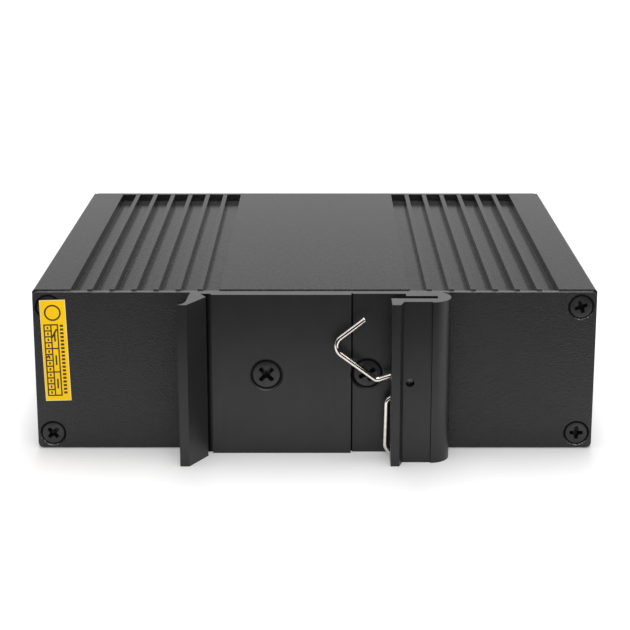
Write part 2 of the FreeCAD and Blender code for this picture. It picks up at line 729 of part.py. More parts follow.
def make_clip_spring():
    """Wire spring, alike above and below its axis: a loop round the pin, two legs, two bent arms."""
    wire_radius = size("wire_diameter") / 2
    loop = size("pin_diameter") / 2 + size("loop_gap") + wire_radius
    leg = Vector(-size("leg_reach"), 0, size("leg_half_width"))
    arm = Vector(-size("arm_reach"), 0, size("arm_half_width"))
    tail = Vector(-size("tail_reach"), 0, size("tail_half_width"))
    lean = math.atan2(leg.z, -leg.x) - math.asin(loop / leg.Length)
    touch = Vector(math.sin(lean), 0, math.cos(lean)) * loop
    upper = bent_path([tail, arm, leg, touch], [size("arm_bend_radius"), size("leg_bend_radius")])
    below = Vector(1, 1, -1)
    flip = [Vector(p.x * below.x, p.y * below.y, p.z * below.z) for p in (touch, leg, arm, tail)]
    lower = bent_path(flip, [size("leg_bend_radius"), size("arm_bend_radius")])
    turn_round = Part.Arc(touch, Vector(loop, 0, 0), flip[0]).toShape()
    path = Part.Wire(upper + [turn_round] + lower)
    across = (arm - tail).cross(Vector(0, 1, 0)).normalize()
    ring = []
    for number in range(WIRE_SIDE_COUNT + 1):
        angle = 2 * math.pi * number / WIRE_SIDE_COUNT
        ring.append(tail + (across * math.cos(angle) + Vector(0, 1, 0) * math.sin(angle)) * wire_radius)
    section = Part.makePolygon(ring)
    spring = document.addObject("Part::Feature", "clip_spring")
    spring.Shape = path.makePipeShell([section], True, False)
    swung = Rotation(Vector(0, -1, 0), size("spring_tilt"))
    keep(place(spring, PIN_X, f"{REAR_FACE} - {WIRE_OUT}", MID_HEIGHT, swung), "clip_spring")


def make_seal_sticker():
    """Narrow sticker on the rear plate, over the upper left screw."""
    sticker = new_body("seal_sticker")
    face = new_sketch(sticker, "sticker_face")
    rectangle(face, "-Sizes.sticker_width / 2", "-Sizes.sticker_height / 2",
              "Sizes.sticker_width / 2", "Sizes.sticker_height / 2")
    pad(sticker, face, "Sizes.sticker_thick")
    tilt = Rotation(Vector(0, -1, 0), size("sticker_tilt"))
    x = f"Sizes.sticker_inset - {HALF_WIDTH}"
    keep(place(sticker, x, REAR_FACE, "Sizes.sticker_level", tilt), "seal_sticker")


def make_circuit_board():
    """Board that slides into the guides of the tube."""
    body = new_body("circuit_board")
    half_width = f"({CAVITY_HALF} - Sizes.board_side_gap)"
    half_length = "(Sizes.tube_length / 2 - Sizes.board_end_gap)"
    face = new_sketch(body, "board_outline", "XY_Plane")
    rectangle(face, f"-{half_width}", f"-{half_length}", half_width, half_length)
    pad(body, face, "Sizes.board_thick")
    keep(place(body, "0", TUBE_MIDDLE, BOARD_BOTTOM), "circuit_board")


def make_jack(prefix, x):
    """Network socket: folded shield, moulded insert with its plug cavity, spring contacts."""
    seat = (x, f"{FRONT_FACE} + Sizes.jack_proud", BOARD_TOP)
    half = "(Sizes.jack_width / 2)"
    skin = "Sizes.shield_thick"
    cavity_half = "(Sizes.cavity_width / 2)"
    cavity_top = "(Sizes.jack_height - Sizes.cavity_roof)"
    cavity_low = f"({cavity_top} - Sizes.cavity_height)"
    latch_half = "(Sizes.latch_width / 2)"
    latch_low = f"({cavity_low} - Sizes.latch_height)"

    shield = new_body(f"{prefix}_shield")
    face = new_sketch(shield, f"{prefix}_shield_face")
    rectangle(face, f"-{half}", "0", half, "Sizes.jack_height")
    pad(shield, face, "Sizes.jack_depth", back=True)
    inside = new_sketch(shield, f"{prefix}_shield_inside", "XY_Plane")
    rectangle(inside, f"-{half} + {skin}", skin, f"{half} - {skin}", f"Sizes.jack_depth - {skin}")
    pocket(shield, inside, f"Sizes.jack_height - {skin}", back=True)
    window = new_sketch(shield, f"{prefix}_shield_window")
    rectangle(window, f"-{cavity_half}", latch_low, cavity_half, cavity_top)
    pocket(shield, window, skin)
    keep(place(shield, *seat, FACE_FRONT), f"{prefix}_shield")

    insert = new_body(f"{prefix}_insert")
    inset = f"({skin} + Sizes.insert_gap)"
    section = new_sketch(insert, f"{prefix}_insert_section", lift=f"-{inset}")
    rectangle(section, f"-{half} + {inset}", "0", f"{half} - {inset}", f"Sizes.jack_height - {inset}")
    pad(insert, section, f"Sizes.jack_depth - 2 * {inset}", back=True)
    cavity = new_sketch(insert, f"{prefix}_cavity", lift=f"-{inset}")
    outline(cavity, [
        (f"-{cavity_half}", cavity_low),
        (f"-{latch_half}", cavity_low),
        (f"-{latch_half}", latch_low),
        (latch_half, latch_low),
        (latch_half, cavity_low),
        (cavity_half, cavity_low),
        (cavity_half, cavity_top),
        (f"-{cavity_half}", cavity_top),
    ])
    pocket(insert, cavity, "Sizes.cavity_depth")
    keep(place(insert, *seat, FACE_FRONT), f"{prefix}_insert")

    contact = new_body(f"{prefix}_contact")
    strip = new_sketch(contact, f"{prefix}_contact_strip", "YZ_Plane")
    start = f"({inset} + Sizes.contact_setback)"
    root = f"({cavity_top} - Sizes.insert_gap)"
    tip = f"({root} - Sizes.contact_drop)"
    outline(strip, [
        (start, f"{root} - Sizes.contact_thick"),
        (f"{start} + Sizes.contact_run", f"{tip} - Sizes.contact_thick"),
        (f"{start} + Sizes.contact_run", tip),
        (start, root),
    ])
    pad(contact, strip, "Sizes.contact_width", both=True)
    middle = (CONTACT_COUNT - 1) / 2
    copies = []
    for number in range(CONTACT_COUNT):
        copies.append((contact, f"{number - middle} * Sizes.contact_pitch", "0", "0", FACE_REAR))
    group(f"{prefix}_contacts", copies, seat, FACE_FRONT)


def terminal_places():
    """X of each way of the output terminal, from its middle."""
    middle = (TERMINAL_COUNT - 1) / 2
    return [f"({number - middle} * Sizes.terminal_pitch)" for number in range(TERMINAL_COUNT)]


def make_output_header():
    """Fixed half of the terminal: open shroud on the board, with square pins."""
    seat = (OUTPUT_X, FRONT_FACE, BOARD_TOP)
    half = f"({HEADER_WIDTH} / 2)"
    wall = "Sizes.header_wall"
    well = "(Sizes.header_depth - Sizes.header_back)"
    header = new_body("output_header")
    face = new_sketch(header, "header_face")
    rectangle(face, f"-{half}", "0", half, "Sizes.header_height")
    pad(header, face, "Sizes.header_depth", back=True)
    shroud = new_sketch(header, "header_shroud")
    rectangle(shroud, f"-{half} + {wall}", wall, f"{half} - {wall}", f"Sizes.header_height - {wall}")
    pocket(header, shroud, well)
    keep(place(header, *seat, FACE_FRONT), "output_header")
    pin = new_body("header_pin")
    end = new_sketch(pin, "pin_end")
    pin_half = "(Sizes.header_pin / 2)"
    rectangle(end, f"-{pin_half}", f"-{pin_half}", pin_half, pin_half)
    pad(pin, end, "Sizes.header_pin_length")
    copies = [(pin, x, well, "Sizes.header_height / 2", FACE_REAR) for x in terminal_places()]
    group("header_pins", copies, seat, FACE_FRONT)


def make_output_plug():
    """Plug-in half of the terminal: stem in the shroud, head with a wire entry and a release slot per way."""
    clear = "(Sizes.header_wall + Sizes.plug_fit)"
    stem_half = f"({HEADER_WIDTH} / 2 - {clear})"
    stem_length = "(Sizes.header_depth - Sizes.header_back - Sizes.plug_fit)"
    plug = new_body("output_plug")
    head = new_sketch(plug, "plug_head", lift="Sizes.plug_reach")
    rectangle(head, f"-{stem_half}", f"-{clear}", stem_half, "Sizes.header_height + Sizes.plug_brow")
    pad(plug, head, "Sizes.plug_reach - Sizes.plug_stand", back=True)
    stem = new_sketch(plug, "plug_stem", lift="Sizes.plug_stand")
    rectangle(stem, f"-{stem_half}", clear, stem_half, f"Sizes.header_height - {clear}")
    pad(plug, stem, f"{stem_length} + Sizes.plug_stand", back=True)
    pin_holes = new_sketch(plug, "plug_pin_holes", lift=f"-{stem_length}")
    openings = new_sketch(plug, "plug_openings", lift="Sizes.plug_reach")
    hole = "(Sizes.plug_pin_hole / 2)"
    entry = "(Sizes.wire_entry / 2)"
    middle = "(Sizes.header_height / 2)"
    slot_half = "(Sizes.release_width / 2)"
    slot_low = f"({middle} + Sizes.release_rise - Sizes.release_height)"
    slot_high = f"({middle} + Sizes.release_rise)"
    for x in terminal_places():
        rectangle(pin_holes, f"{x} - {hole}", f"{middle} - {hole}", f"{x} + {hole}", f"{middle} + {hole}")
        rectangle(openings, f"{x} - {entry}", f"{middle} - {entry}", f"{x} + {entry}", f"{middle} + {entry}")
        rectangle(openings, f"{x} - {slot_half}", slot_low, f"{x} + {slot_half}", slot_high)
    pocket(plug, pin_holes, "Sizes.header_pin_length + Sizes.plug_fit", back=True)
    pocket(plug, openings, "Sizes.wire_entry_depth")
    keep(place(plug, OUTPUT_X, FRONT_FACE, BOARD_TOP, FACE_FRONT), "output_plug")


def make_leds():
    """Light guides that look out of the front plate, held by a block on the board."""
    lamp = new_body("status_led")
    face = new_sketch(lamp, "led_face", lift="Sizes.led_proud")
    rectangle(face, "-Sizes.led_width / 2", "-Sizes.led_height / 2",
              "Sizes.led_width / 2", "Sizes.led_height / 2")
    bar = pad(lamp, face, "Sizes.led_proud + Sizes.plate_thick + Sizes.led_edge", back=True)
    front = edges_where(bar, lambda edge: edge.BoundBox.YMax < bar.Shape.BoundBox.YMin + HAIR)
    dress_edges(lamp, bar, front, "Chamfer", "Sizes.led_edge")
    copies = [(lamp, f"-{number} * Sizes.led_pitch", "0", "0", FACE_REAR) for number in range(LED_COUNT)]
    axis_height = f"{BOARD_TOP} + Sizes.led_level"
    group("status_leds", copies, (LED_X, FRONT_FACE, axis_height), FACE_FRONT)
    block = new_body("led_holder")
    face = new_sketch(block, "holder_face")
    edge = "Sizes.led_holder_edge"
    right = f"{LED_COUNT - 1} * Sizes.led_pitch + {edge}"
    rectangle(face, f"-{edge}", "0", right, f"Sizes.led_level + {edge}")
    pad(block, face, "Sizes.led_holder_depth")
    keep(place(block, LED_X, f"{TUBE_FRONT} - Sizes.led_edge", BOARD_TOP), "led_holder")


def flat_package(name, width, depth, height):
    """Moulded package with leads on its two long sides; its bottom is at local Z 0."""
    body = new_body(name)
    face = new_sketch(body, f"{name}_face", "XY_Plane", "Sizes.lead_thick / 2")
    rectangle(face, f"-{width} / 2", f"-{depth} / 2", f"{width} / 2", f"{depth} / 2")
    moulding = pad(body, face, f"{height} - Sizes.lead_thick / 2")
    top = edges_where(moulding, lambda edge: edge.BoundBox.ZMin > moulding.Shape.BoundBox.ZMax - HAIR)
    dress_edges(body, moulding, top, "Chamfer", "Sizes.package_edge")
    strips = new_sketch(body, f"{name}_leads", "XY_Plane")
    reach = f"({depth} / 2 + Sizes.lead_reach)"
    middle = (LEAD_COUNT - 1) / 2
    for number in range(LEAD_COUNT):
        x = f"({number - middle} * ({width} - Sizes.lead_pitch) / {LEAD_COUNT - 1})"
        rectangle(strips, f"{x} - Sizes.lead_width / 2", f"-{reach}", f"{x} + Sizes.lead_width / 2", reach)
    pad(body, strips, "Sizes.lead_thick")
    return body


def power_package(label, x, y):
    """Flat power package: body, wide tab at the back, two leads in front."""
    body = new_body(label)
    face = new_sketch(body, f"{label}_face", "XY_Plane")
    half = "(Sizes.power_width / 2)"
    deep = "(Sizes.power_depth / 2)"
    rectangle(face, f"-{half}", f"-{deep}", half, deep)
    pad(body, face, "Sizes.power_height")
    metal = new_sketch(body, f"{label}_metal", "XY_Plane")
    tab_half = f"({half} - Sizes.package_edge)"
    rectangle(metal, f"-{tab_half}", f"-{deep} - Sizes.power_tab", tab_half, "0")
    pad(body, metal, "2 * Sizes.lead_thick")
    legs = new_sketch(body, f"{label}_legs", "XY_Plane")
    for side in ("-", ""):
        middle = f"{side}({half} - Sizes.lead_pitch)"
        rectangle(legs, f"{middle} - Sizes.lead_width", "0", f"{middle} + Sizes.lead_width",
                  f"{deep} + 2 * Sizes.lead_reach")
    pad(body, legs, "Sizes.lead_thick")
    keep(place(body, x, y, BOARD_TOP), label)


def make_packages():
    """Signal transformer, input rectifiers, controller and power switches."""
    lan = flat_package("lan_transformer", "Sizes.lan_width", "Sizes.lan_depth", "Sizes.lan_height")
    keep(place(lan, "Sizes.jack_row_x", LAN_Y, BOARD_TOP), "lan_transformer")
    bridge = flat_package("bridge", "Sizes.bridge_width", "Sizes.bridge_depth", "Sizes.bridge_height")
    bridge_step = "(Sizes.bridge_depth + 2 * Sizes.lead_reach + Sizes.bridge_spacing)"
    bridge_x = f"({POE_X} + Sizes.lan_width / 2 + Sizes.row_gap + Sizes.bridge_width / 2)"
    copies = [(bridge, bridge_x, f"{LAN_Y} - {number} * {bridge_step}", BOARD_TOP, FACE_REAR)
              for number in range(BRIDGE_COUNT)]
    group("bridge_rectifiers", copies)
    chip = flat_package("controller_chip", "Sizes.chip_width", "Sizes.chip_depth", "Sizes.chip_height")
    chip_y = f"{CORE_Y} + Sizes.core_length / 2 - Sizes.chip_depth / 2 - Sizes.lead_reach"
    keep(place(chip, DATA_X, chip_y, BOARD_TOP), "controller_chip")
    power_x = f"({DATA_X} - Sizes.power_width / 2 - Sizes.row_gap / 2)"
    other_x = f"({DATA_X} + Sizes.power_width / 2 + Sizes.row_gap / 2)"
    power_y = f"({chip_y} - Sizes.chip_depth / 2 - 2 * Sizes.row_gap - Sizes.power_depth / 2)"
    power_package("power_switch", power_x, power_y)
    power_package("output_rectifier", other_x, power_y)
    pad_body = new_body("thermal_pad")
    face = new_sketch(pad_body, "pad_face", "XY_Plane")
    rectangle(face, "-Sizes.pad_width / 2", "-Sizes.pad_length / 2",
              "Sizes.pad_width / 2", "Sizes.pad_length / 2")
    pad(pad_body, face, f"{BOARD_BOTTOM} - Sizes.deck_wall")
    keep(place(pad_body, DATA_X, power_y, "Sizes.deck_wall"), "thermal_pad")


def ring_section(body, name, plane, inner, outer):
    """Rectangular ring sketch; inner and outer are (half width, half height)."""
    sketch = new_sketch(body, name, plane)
    for half_width, half_height in (outer, inner):
        rectangle(sketch, f"-{half_width}", f"-{half_height}", half_width, half_height)
    return sketch


def make_transformer():
    """Core with two windows, spool through them, winding on the spool; all lie on one axis along Y."""
    leg_half = "(Sizes.core_leg / 2)"
    leg_rise = "(Sizes.core_height / 2)"
    core_half = "(Sizes.core_width / 2)"
    window_out = f"({core_half} - Sizes.core_side_leg)"
    window_half = "(Sizes.core_length / 2 - Sizes.core_yoke)"
    fit = "Sizes.bobbin_fit"
    bore = (f"({leg_half} + {fit})", f"({leg_rise} + {fit})")
    tube = tuple(f"({half} + Sizes.bobbin_wall)" for half in bore)
    coil_in = tuple(f"({half} + {fit})" for half in tube)
    coil_out = tuple(f"({half} + Sizes.winding_build)" for half in coil_in)
    rim_height = f"({coil_out[1]} + Sizes.bobbin_rim)"
    rim = (f"({window_out} - {fit})", rim_height)
    spool_half = f"({window_half} - {fit})"
    centre = (f"{DATA_X} + Sizes.jack_width / 2 + {core_half} + Sizes.row_gap", CORE_Y,
              f"{BOARD_TOP} + {rim_height}")

    core = new_body("transformer_core")
    face = new_sketch(core, "core_face", "XY_Plane")
    rectangle(face, f"-{core_half}", "-Sizes.core_length / 2", core_half, "Sizes.core_length / 2")
    rectangle(face, f"-{window_out}", f"-{window_half}", f"-{leg_half}", window_half)
    rectangle(face, leg_half, f"-{window_half}", window_out, window_half)
    pad(core, face, "Sizes.core_height", both=True)
    keep(place(core, *centre), "transformer_core")

    spool = new_body("transformer_bobbin")
    pad(spool, ring_section(spool, "spool_tube", "XZ_Plane", bore, tube), f"2 * {spool_half}", both=True)
    flange = ring_section(spool, "spool_flange", "XZ_Plane", bore, rim)
    flange.setExpression("AttachmentOffset.Base.z", spool_half)
    rear_flange = pad(spool, flange, "Sizes.bobbin_wall", back=True)
    front_flange = spool.newObject("PartDesign::Mirrored", "spool_front_flange")
    front_flange.Originals = [rear_flange]
    front_flange.MirrorPlane = (origin_feature(spool, "XZ_Plane"), [""])
    spool.Tip = front_flange
    document.recompute()
    keep(place(spool, *centre), "transformer_bobbin")

    winding = new_body("transformer_winding")
    coil_length = f"2 * ({spool_half} - Sizes.bobbin_wall - {fit})"
    pad(winding, ring_section(winding, "winding_section", "XZ_Plane", coil_in, coil_out),
        coil_length, both=True)
    keep(place(winding, *centre), "transformer_winding")


def moulded_block(label, width, depth, height, x, y):
    """Component moulded as a block with bevelled upright edges, standing on the board."""
    body = new_body(label)
    face = new_sketch(body, f"{label}_face", "XY_Plane")
    rectangle(face, f"-{width} / 2", f"-{depth} / 2", f"{width} / 2", f"{depth} / 2")
    block = pad(body, face, height)
    dress_edges(body, block, edges_where(block, stands_upright), "Chamfer", "Sizes.block_corner")
    keep(place(body, x, y, BOARD_TOP), label)


def make_filters():
    """Capacitor at each end of the converter, and the output choke behind the output capacitor."""
    sizes = ("Sizes.capacitor_width", "Sizes.capacitor_depth", "Sizes.capacitor_height")
    input_x = f"{POE_X} + Sizes.lan_width / 2 + 2 * Sizes.row_gap + Sizes.bridge_width + {sizes[0]} / 2"
    output_y = f"({HEADER_BACK} - Sizes.row_gap - Sizes.capacitor_depth / 2)"
    choke_y = f"{output_y} - Sizes.capacitor_depth / 2 - Sizes.row_gap - Sizes.choke_width / 2"
    moulded_block("input_capacitor", *sizes, input_x, LAN_Y)
    moulded_block("output_capacitor", *sizes, OUTPUT_X, output_y)
    choke_sizes = ("Sizes.choke_width", "Sizes.choke_width", "Sizes.choke_height")
    moulded_block("output_choke", *choke_sizes, OUTPUT_X, choke_y)


make_case_tube()
make_rear_plate()
make_front_plate()
make_end_screws()
make_din_clip()
make_clip_fasteners()
make_spring_pin()
make_clip_spring()
make_seal_sticker()
make_circuit_board()
make_jack("poe_jack", POE_X)
make_jack("data_jack", DATA_X)
make_output_header()
make_output_plug()
make_leds()
make_packages()
make_transformer()
make_filters()
document.recompute()

for thing in document.Objects:
    if "Invalid" in thing.State or "Error" in thing.State:
        raise RuntimeError(f"{thing.Label} failed: {thing.State}")
for part in subparts:
    if part.Shape.isNull() or not part.Shape.isValid():
        raise RuntimeError(f"{part.Label} has no valid shape")

os.makedirs("parts", exist_ok=True)
for part in subparts:
    part.Shape.exportStep(f"parts/{part.Label}.step")
    print(part.Label, len(part.Shape.Solids), round(part.Shape.Volume, 2))
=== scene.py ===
import json
import math

import bmesh
import bpy
from mathutils import Matrix, Vector


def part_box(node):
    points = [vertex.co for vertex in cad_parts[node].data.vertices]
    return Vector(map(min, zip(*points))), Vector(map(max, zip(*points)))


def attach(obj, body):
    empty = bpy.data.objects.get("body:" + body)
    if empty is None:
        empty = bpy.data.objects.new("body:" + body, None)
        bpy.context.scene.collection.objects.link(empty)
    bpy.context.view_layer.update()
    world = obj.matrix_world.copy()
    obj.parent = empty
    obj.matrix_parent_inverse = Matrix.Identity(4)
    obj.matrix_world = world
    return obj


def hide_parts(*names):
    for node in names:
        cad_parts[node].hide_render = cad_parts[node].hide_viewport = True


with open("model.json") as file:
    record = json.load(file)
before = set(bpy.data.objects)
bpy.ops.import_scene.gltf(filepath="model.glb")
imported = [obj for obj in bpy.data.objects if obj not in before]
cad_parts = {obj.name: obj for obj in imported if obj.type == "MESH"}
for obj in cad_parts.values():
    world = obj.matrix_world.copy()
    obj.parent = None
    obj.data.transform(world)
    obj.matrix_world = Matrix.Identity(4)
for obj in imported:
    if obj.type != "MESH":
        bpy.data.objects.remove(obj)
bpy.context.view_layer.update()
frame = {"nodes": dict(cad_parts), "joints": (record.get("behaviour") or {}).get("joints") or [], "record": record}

mm = 0.001
cadNodes = frame["nodes"]
pinPlace = Vector(frame["joints"][0]["pos_m"]) / mm
print("frame loaded,", len(cadNodes), "nodes")


# shader building blocks; grains, patches and heights of a finish are in millimetres

noiseSpans = {"roughness": (0.30, 0.70), "colour": (0.32, 0.68)}     # where most of a noise's values lie


def addNode(tree, kind, inputs=None, **properties):
    node = tree.nodes.new(kind)
    for name, value in properties.items():
        setattr(node, name, value)
    for name, value in (inputs or {}).items():
        node.inputs[name].default_value = value
    return node


def startMaterial(name, colour, roughness, metallic=0.0, specular=0.5):
    material = bpy.data.materials.new(name)
    material.use_nodes = True
    tree = material.node_tree
    shader = tree.nodes["Principled BSDF"]
    shader.inputs["Base Color"].default_value = (*colour, 1)
    shader.inputs["Roughness"].default_value = roughness
    shader.inputs["Metallic"].default_value = metallic
    shader.inputs["Specular IOR Level"].default_value = specular
    return material, tree, shader


def objectPlace(tree, stretch=(1, 1, 1)):
    coordinates = addNode(tree, "ShaderNodeTexCoord")
    mapping = addNode(tree, "ShaderNodeMapping", {"Scale": stretch})
    tree.links.new(coordinates.outputs["Object"], mapping.inputs["Vector"])
    return mapping.outputs["Vector"]


def noiseAt(tree, place, grain, detail=2.0):
    # grain is the size of one speck
    noise = addNode(tree, "ShaderNodeTexNoise", {"Scale": 1 / (grain * mm), "Detail": detail})
    tree.links.new(place, noise.inputs["Vector"])
    return noise.outputs["Fac"]


def remap(tree, value, span, result, **properties):
    # stretches one span of values over another
    limits = dict(zip(("From Min", "From Max", "To Min", "To Max"), (*span, *result)))
    stretched = addNode(tree, "ShaderNodeMapRange", limits, **properties)
    tree.links.new(value, stretched.inputs["Value"])
    return stretched.outputs["Result"]


def bumpFrom(tree, shader, pattern, height):
    bump = addNode(tree, "ShaderNodeBump", {"Strength": 1.0, "Distance": height * mm})
    tree.links.new(pattern, bump.inputs["Height"])
    tree.links.new(bump.outputs["Normal"], shader.inputs["Normal"])


def varyRoughness(tree, shader, pattern, low, high):
    roughness = remap(tree, pattern, noiseSpans["roughness"], (low, high))
    tree.links.new(roughness, shader.inputs["Roughness"])


def varyColour(tree, shader, pattern, dark, light, span=noiseSpans["colour"]):
    ramp = addNode(tree, "ShaderNodeValToRGB")
    for stop, place, colour in zip(ramp.color_ramp.elements, span, (dark, light)):
        stop.position = place
        stop.color = (*colour, 1)
    tree.links.new(pattern, ramp.inputs["Fac"])
    tree.links.new(ramp.outputs["Color"], shader.inputs["Base Color"])


# finishes, one for each slot of the record

powderCoat = {
    "dark": (0.0075, 0.0075, 0.0078),
    "light": (0.0130, 0.0130, 0.0134),
    "dust": 0.11,         # grain of the roughness
    "pebbleDetail": 1.5,
}
# tone multiplies both colours, pebble is the width of one grain of the coat
plateCoat = {"tone": 1.0, "pebble": 0.26, "height": 0.145, "specular": 0.52, "roughness": (0.26, 0.34)}
caseCoat = {"tone": 3.0, "pebble": 0.55, "height": 0.022, "specular": 0.038, "roughness": (0.12, 0.18)}


def makePowderCoat(name, coat):
    dark, light = (tuple(coat["tone"] * c for c in powderCoat[shade]) for shade in ("dark", "light"))
    material, tree, shader = startMaterial(name, light, coat["roughness"][0], specular=coat["specular"])
    place = objectPlace(tree)
    pebbles = noiseAt(tree, place, coat["pebble"], powderCoat["pebbleDetail"])
    bumpFrom(tree, shader, pebbles, coat["height"])
    varyColour(tree, shader, pebbles, dark, light)
    varyRoughness(tree, shader, noiseAt(tree, place, powderCoat["dust"]), *coat["roughness"])
    return material


anodised = {
    "dark": (0.0055, 0.0055, 0.0057),
    "light": (0.0085, 0.0085, 0.0088),
    "sawCutLit": (0.020, 0.020, 0.0205),     # ends of the extrusion, paler: partly the saw cut, partly painted light from above
    "roughness": (0.36, 0.44),
    "specular": 0.58,
    "lineWidth": 0.25,                    # drawing lines of the extrusion
    "lineStretch": (1, 1, 0.012),
    "lineHeight": 0.004,
    "sawStretch": (0.08, 1, 1),
    "blotch": 6.0,
    "blotchDetail": 3.0,
}


def makeAnodised(name, stretch, dark, light):
    look = anodised
    material, tree, shader = startMaterial(name, light, look["roughness"][0], specular=look["specular"])
    lines = noiseAt(tree, objectPlace(tree, stretch), look["lineWidth"])
    bumpFrom(tree, shader, lines, look["lineHeight"])
    blotches = noiseAt(tree, objectPlace(tree), look["blotch"], look["blotchDetail"])
    varyColour(tree, shader, blotches, dark, light)
    varyRoughness(tree, shader, lines, *look["roughness"])
    return material


metalDetail = 3.0
plasticPatch = 4.0     # width of one patch of colour


def makeMetal(name, dark, light, roughness, grain, height=0.0, stretch=(1, 1, 1)):
    material, tree, shader = startMaterial(name, light, roughness[0], metallic=1.0)
    pattern = noiseAt(tree, objectPlace(tree, stretch), grain, metalDetail)
    varyColour(tree, shader, pattern, dark, light)
    varyRoughness(tree, shader, pattern, *roughness)
    if height:
        bumpFrom(tree, shader, pattern, height)
    return material


def makePlastic(name, dark, light, roughness, grain, height, specular=0.5):
    material, tree, shader = startMaterial(name, light, roughness[0], specular=specular)
    place = objectPlace(tree)
    fine = noiseAt(tree, place, grain)
    bumpFrom(tree, shader, fine, height)
    varyColour(tree, shader, noiseAt(tree, place, plasticPatch), dark, light)
    varyRoughness(tree, shader, fine, *roughness)
    return material


lightGuide = {
    "dark": (0.20, 0.62, 0.25), "light": (0.34, 0.80, 0.38), "patch": 1.2,
    "roughness": 0.16, "transmission": 0.55, "ior": 1.49,
    "grain": 0.3, "grainDetail": 1.0, "height": 0.002,
}


def makeLightGuide():
    look = lightGuide
    material, tree, shader = startMaterial("lightGuide", look["light"], look["roughness"])
    shader.inputs["Transmission Weight"].default_value = look["transmission"]
    shader.inputs["IOR"].default_value = look["ior"]
    place = objectPlace(tree)
    varyColour(tree, shader, noiseAt(tree, place, look["patch"]), look["dark"], look["light"])
    bumpFrom(tree, shader, noiseAt(tree, place, look["grain"], look["grainDetail"]), look["height"])
    return material


metalLooks = {
    "bare_steel": {
        "name": "zincPlate", "dark": (0.50, 0.50, 0.50), "light": (0.64, 0.64, 0.63),
        "roughness": (0.26, 0.40), "grain": 0.4, "height": 0.004,
    },
    "spring_wire": {
        "name": "nickelWire", "dark": (0.72, 0.68, 0.63), "light": (0.86, 0.82, 0.77),
        "roughness": (0.09, 0.16), "grain": 0.7,
    },
    "tinned_sheet": {
        "name": "tinnedSheet", "dark": (0.52, 0.52, 0.50), "light": (0.66, 0.66, 0.64),
        "roughness": (0.24, 0.38), "grain": 0.3, "height": 0.003, "stretch": (1, 0.1, 1),
    },
    "gold_contact": {
        "name": "goldFlash", "dark": (0.74, 0.50, 0.17), "light": (0.88, 0.64, 0.26),
        "roughness": (0.16, 0.28), "grain": 0.5,
    },
    "copper_winding": {
        "name": "enamelCopper", "dark": (0.42, 0.15, 0.06), "light": (0.62, 0.27, 0.12),
        "roughness": (0.22, 0.34), "grain": 0.5, "height": 0.05, "stretch": (1, 2, 1),
    },
}
plasticLooks = {
    "black_screw": {
        "name": "blackPlating", "dark": (0.010, 0.010, 0.011), "light": (0.022, 0.022, 0.023),
        "roughness": (0.34, 0.46), "grain": 0.2, "height": 0.004,
    },
    "yellow_sticker": {
        "name": "yellowVinyl", "dark": (0.97, 0.57, 0.0), "light": (1.00, 0.61, 0.0),
        "roughness": (0.50, 0.62), "grain": 0.25, "height": 0.004, "specular": 0.2,
    },
    "board_laminate": {
        "name": "solderMask", "dark": (0.014, 0.11, 0.04), "light": (0.025, 0.18, 0.065),
        "roughness": (0.30, 0.42), "grain": 0.8, "height": 0.01,
    },
    "black_plastic": {
        "name": "mouldedBlack", "dark": (0.014, 0.014, 0.014), "light": (0.022, 0.022, 0.023),
        "roughness": (0.40, 0.55), "grain": 0.15, "height": 0.008,
    },
    "green_plastic": {
        "name": "terminalGreen", "dark": (0.020, 0.21, 0.055), "light": (0.030, 0.28, 0.080),
        "roughness": (0.36, 0.50), "grain": 0.2, "height": 0.008,
    },
    "soft_pad": {
        "name": "heatPad", "dark": (0.30, 0.36, 0.42), "light": (0.38, 0.44, 0.50),
        "roughness": (0.60, 0.75), "grain": 0.5, "height": 0.03,
    },
    "ferrite": {
        "name": "sinteredFerrite", "dark": (0.030, 0.030, 0.032), "light": (0.055, 0.055, 0.058),
        "roughness": (0.50, 0.68), "grain": 0.12, "height": 0.012,
    },
}
finishes = {
    "case_coat": makePowderCoat("casePowderCoat", caseCoat),
    "plate_coat": makePowderCoat("platePowderCoat", plateCoat),
    "clip_anodised": makeAnodised(
        "satinAnodised", anodised["lineStretch"], anodised["dark"], anodised["light"]),
    "led_lens": makeLightGuide(),
}
finishes.update({slot: makeMetal(**look) for slot, look in metalLooks.items()})
finishes.update({slot: makePlastic(**look) for slot, look in plasticLooks.items()})
for row in frame["record"]["subparts"]:
    mesh = cadNodes[row["node"]].data
    mesh.materials.clear()
    mesh.materials.append(finishes[row["material_slot"]])
print("finishes made,", len(finishes))


# mesh building blocks; shapes are drawn in millimetres and scaled when they are finished

mergeGap = 0.0005
copying = {"merge": 0.001, "flatAngle": 1, "faceWeight": 80}     # millimetres, degrees, weight of wide faces


def boxOf(node):
    return [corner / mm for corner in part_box(node)]


def isVert(item):
    return isinstance(item, bmesh.types.BMVert)


def isEdge(item):
    return isinstance(item, bmesh.types.BMEdge)


def edgesOf(verts):
    return list(dict.fromkeys(edge for vert in verts for edge in vert.link_edges))


def vertsOf(edges):
    return list(dict.fromkeys(vert for edge in edges for vert in edge.verts))


def reach(edge, axis):
    return abs(edge.verts[0].co[axis] - edge.verts[1].co[axis])


def pushRing(bm, ring, step=(0, 0, 0), growth=1.0, centre=(0, 0, 0)):
    # extrudes an edge ring, scales it about a centre and moves it
    new = bmesh.ops.extrude_edge_only(bm, edges=ring)["geom"]
    verts = [item for item in new if isVert(item)]
    around = Matrix.Translation(-Vector(centre))
    bmesh.ops.scale(bm, verts=verts, vec=(growth, growth, growth), space=around)
    bmesh.ops.translate(bm, verts=verts, vec=step)
    loose = set(verts)
    return [item for item in new if isEdge(item) and loose.issuperset(item.verts)]


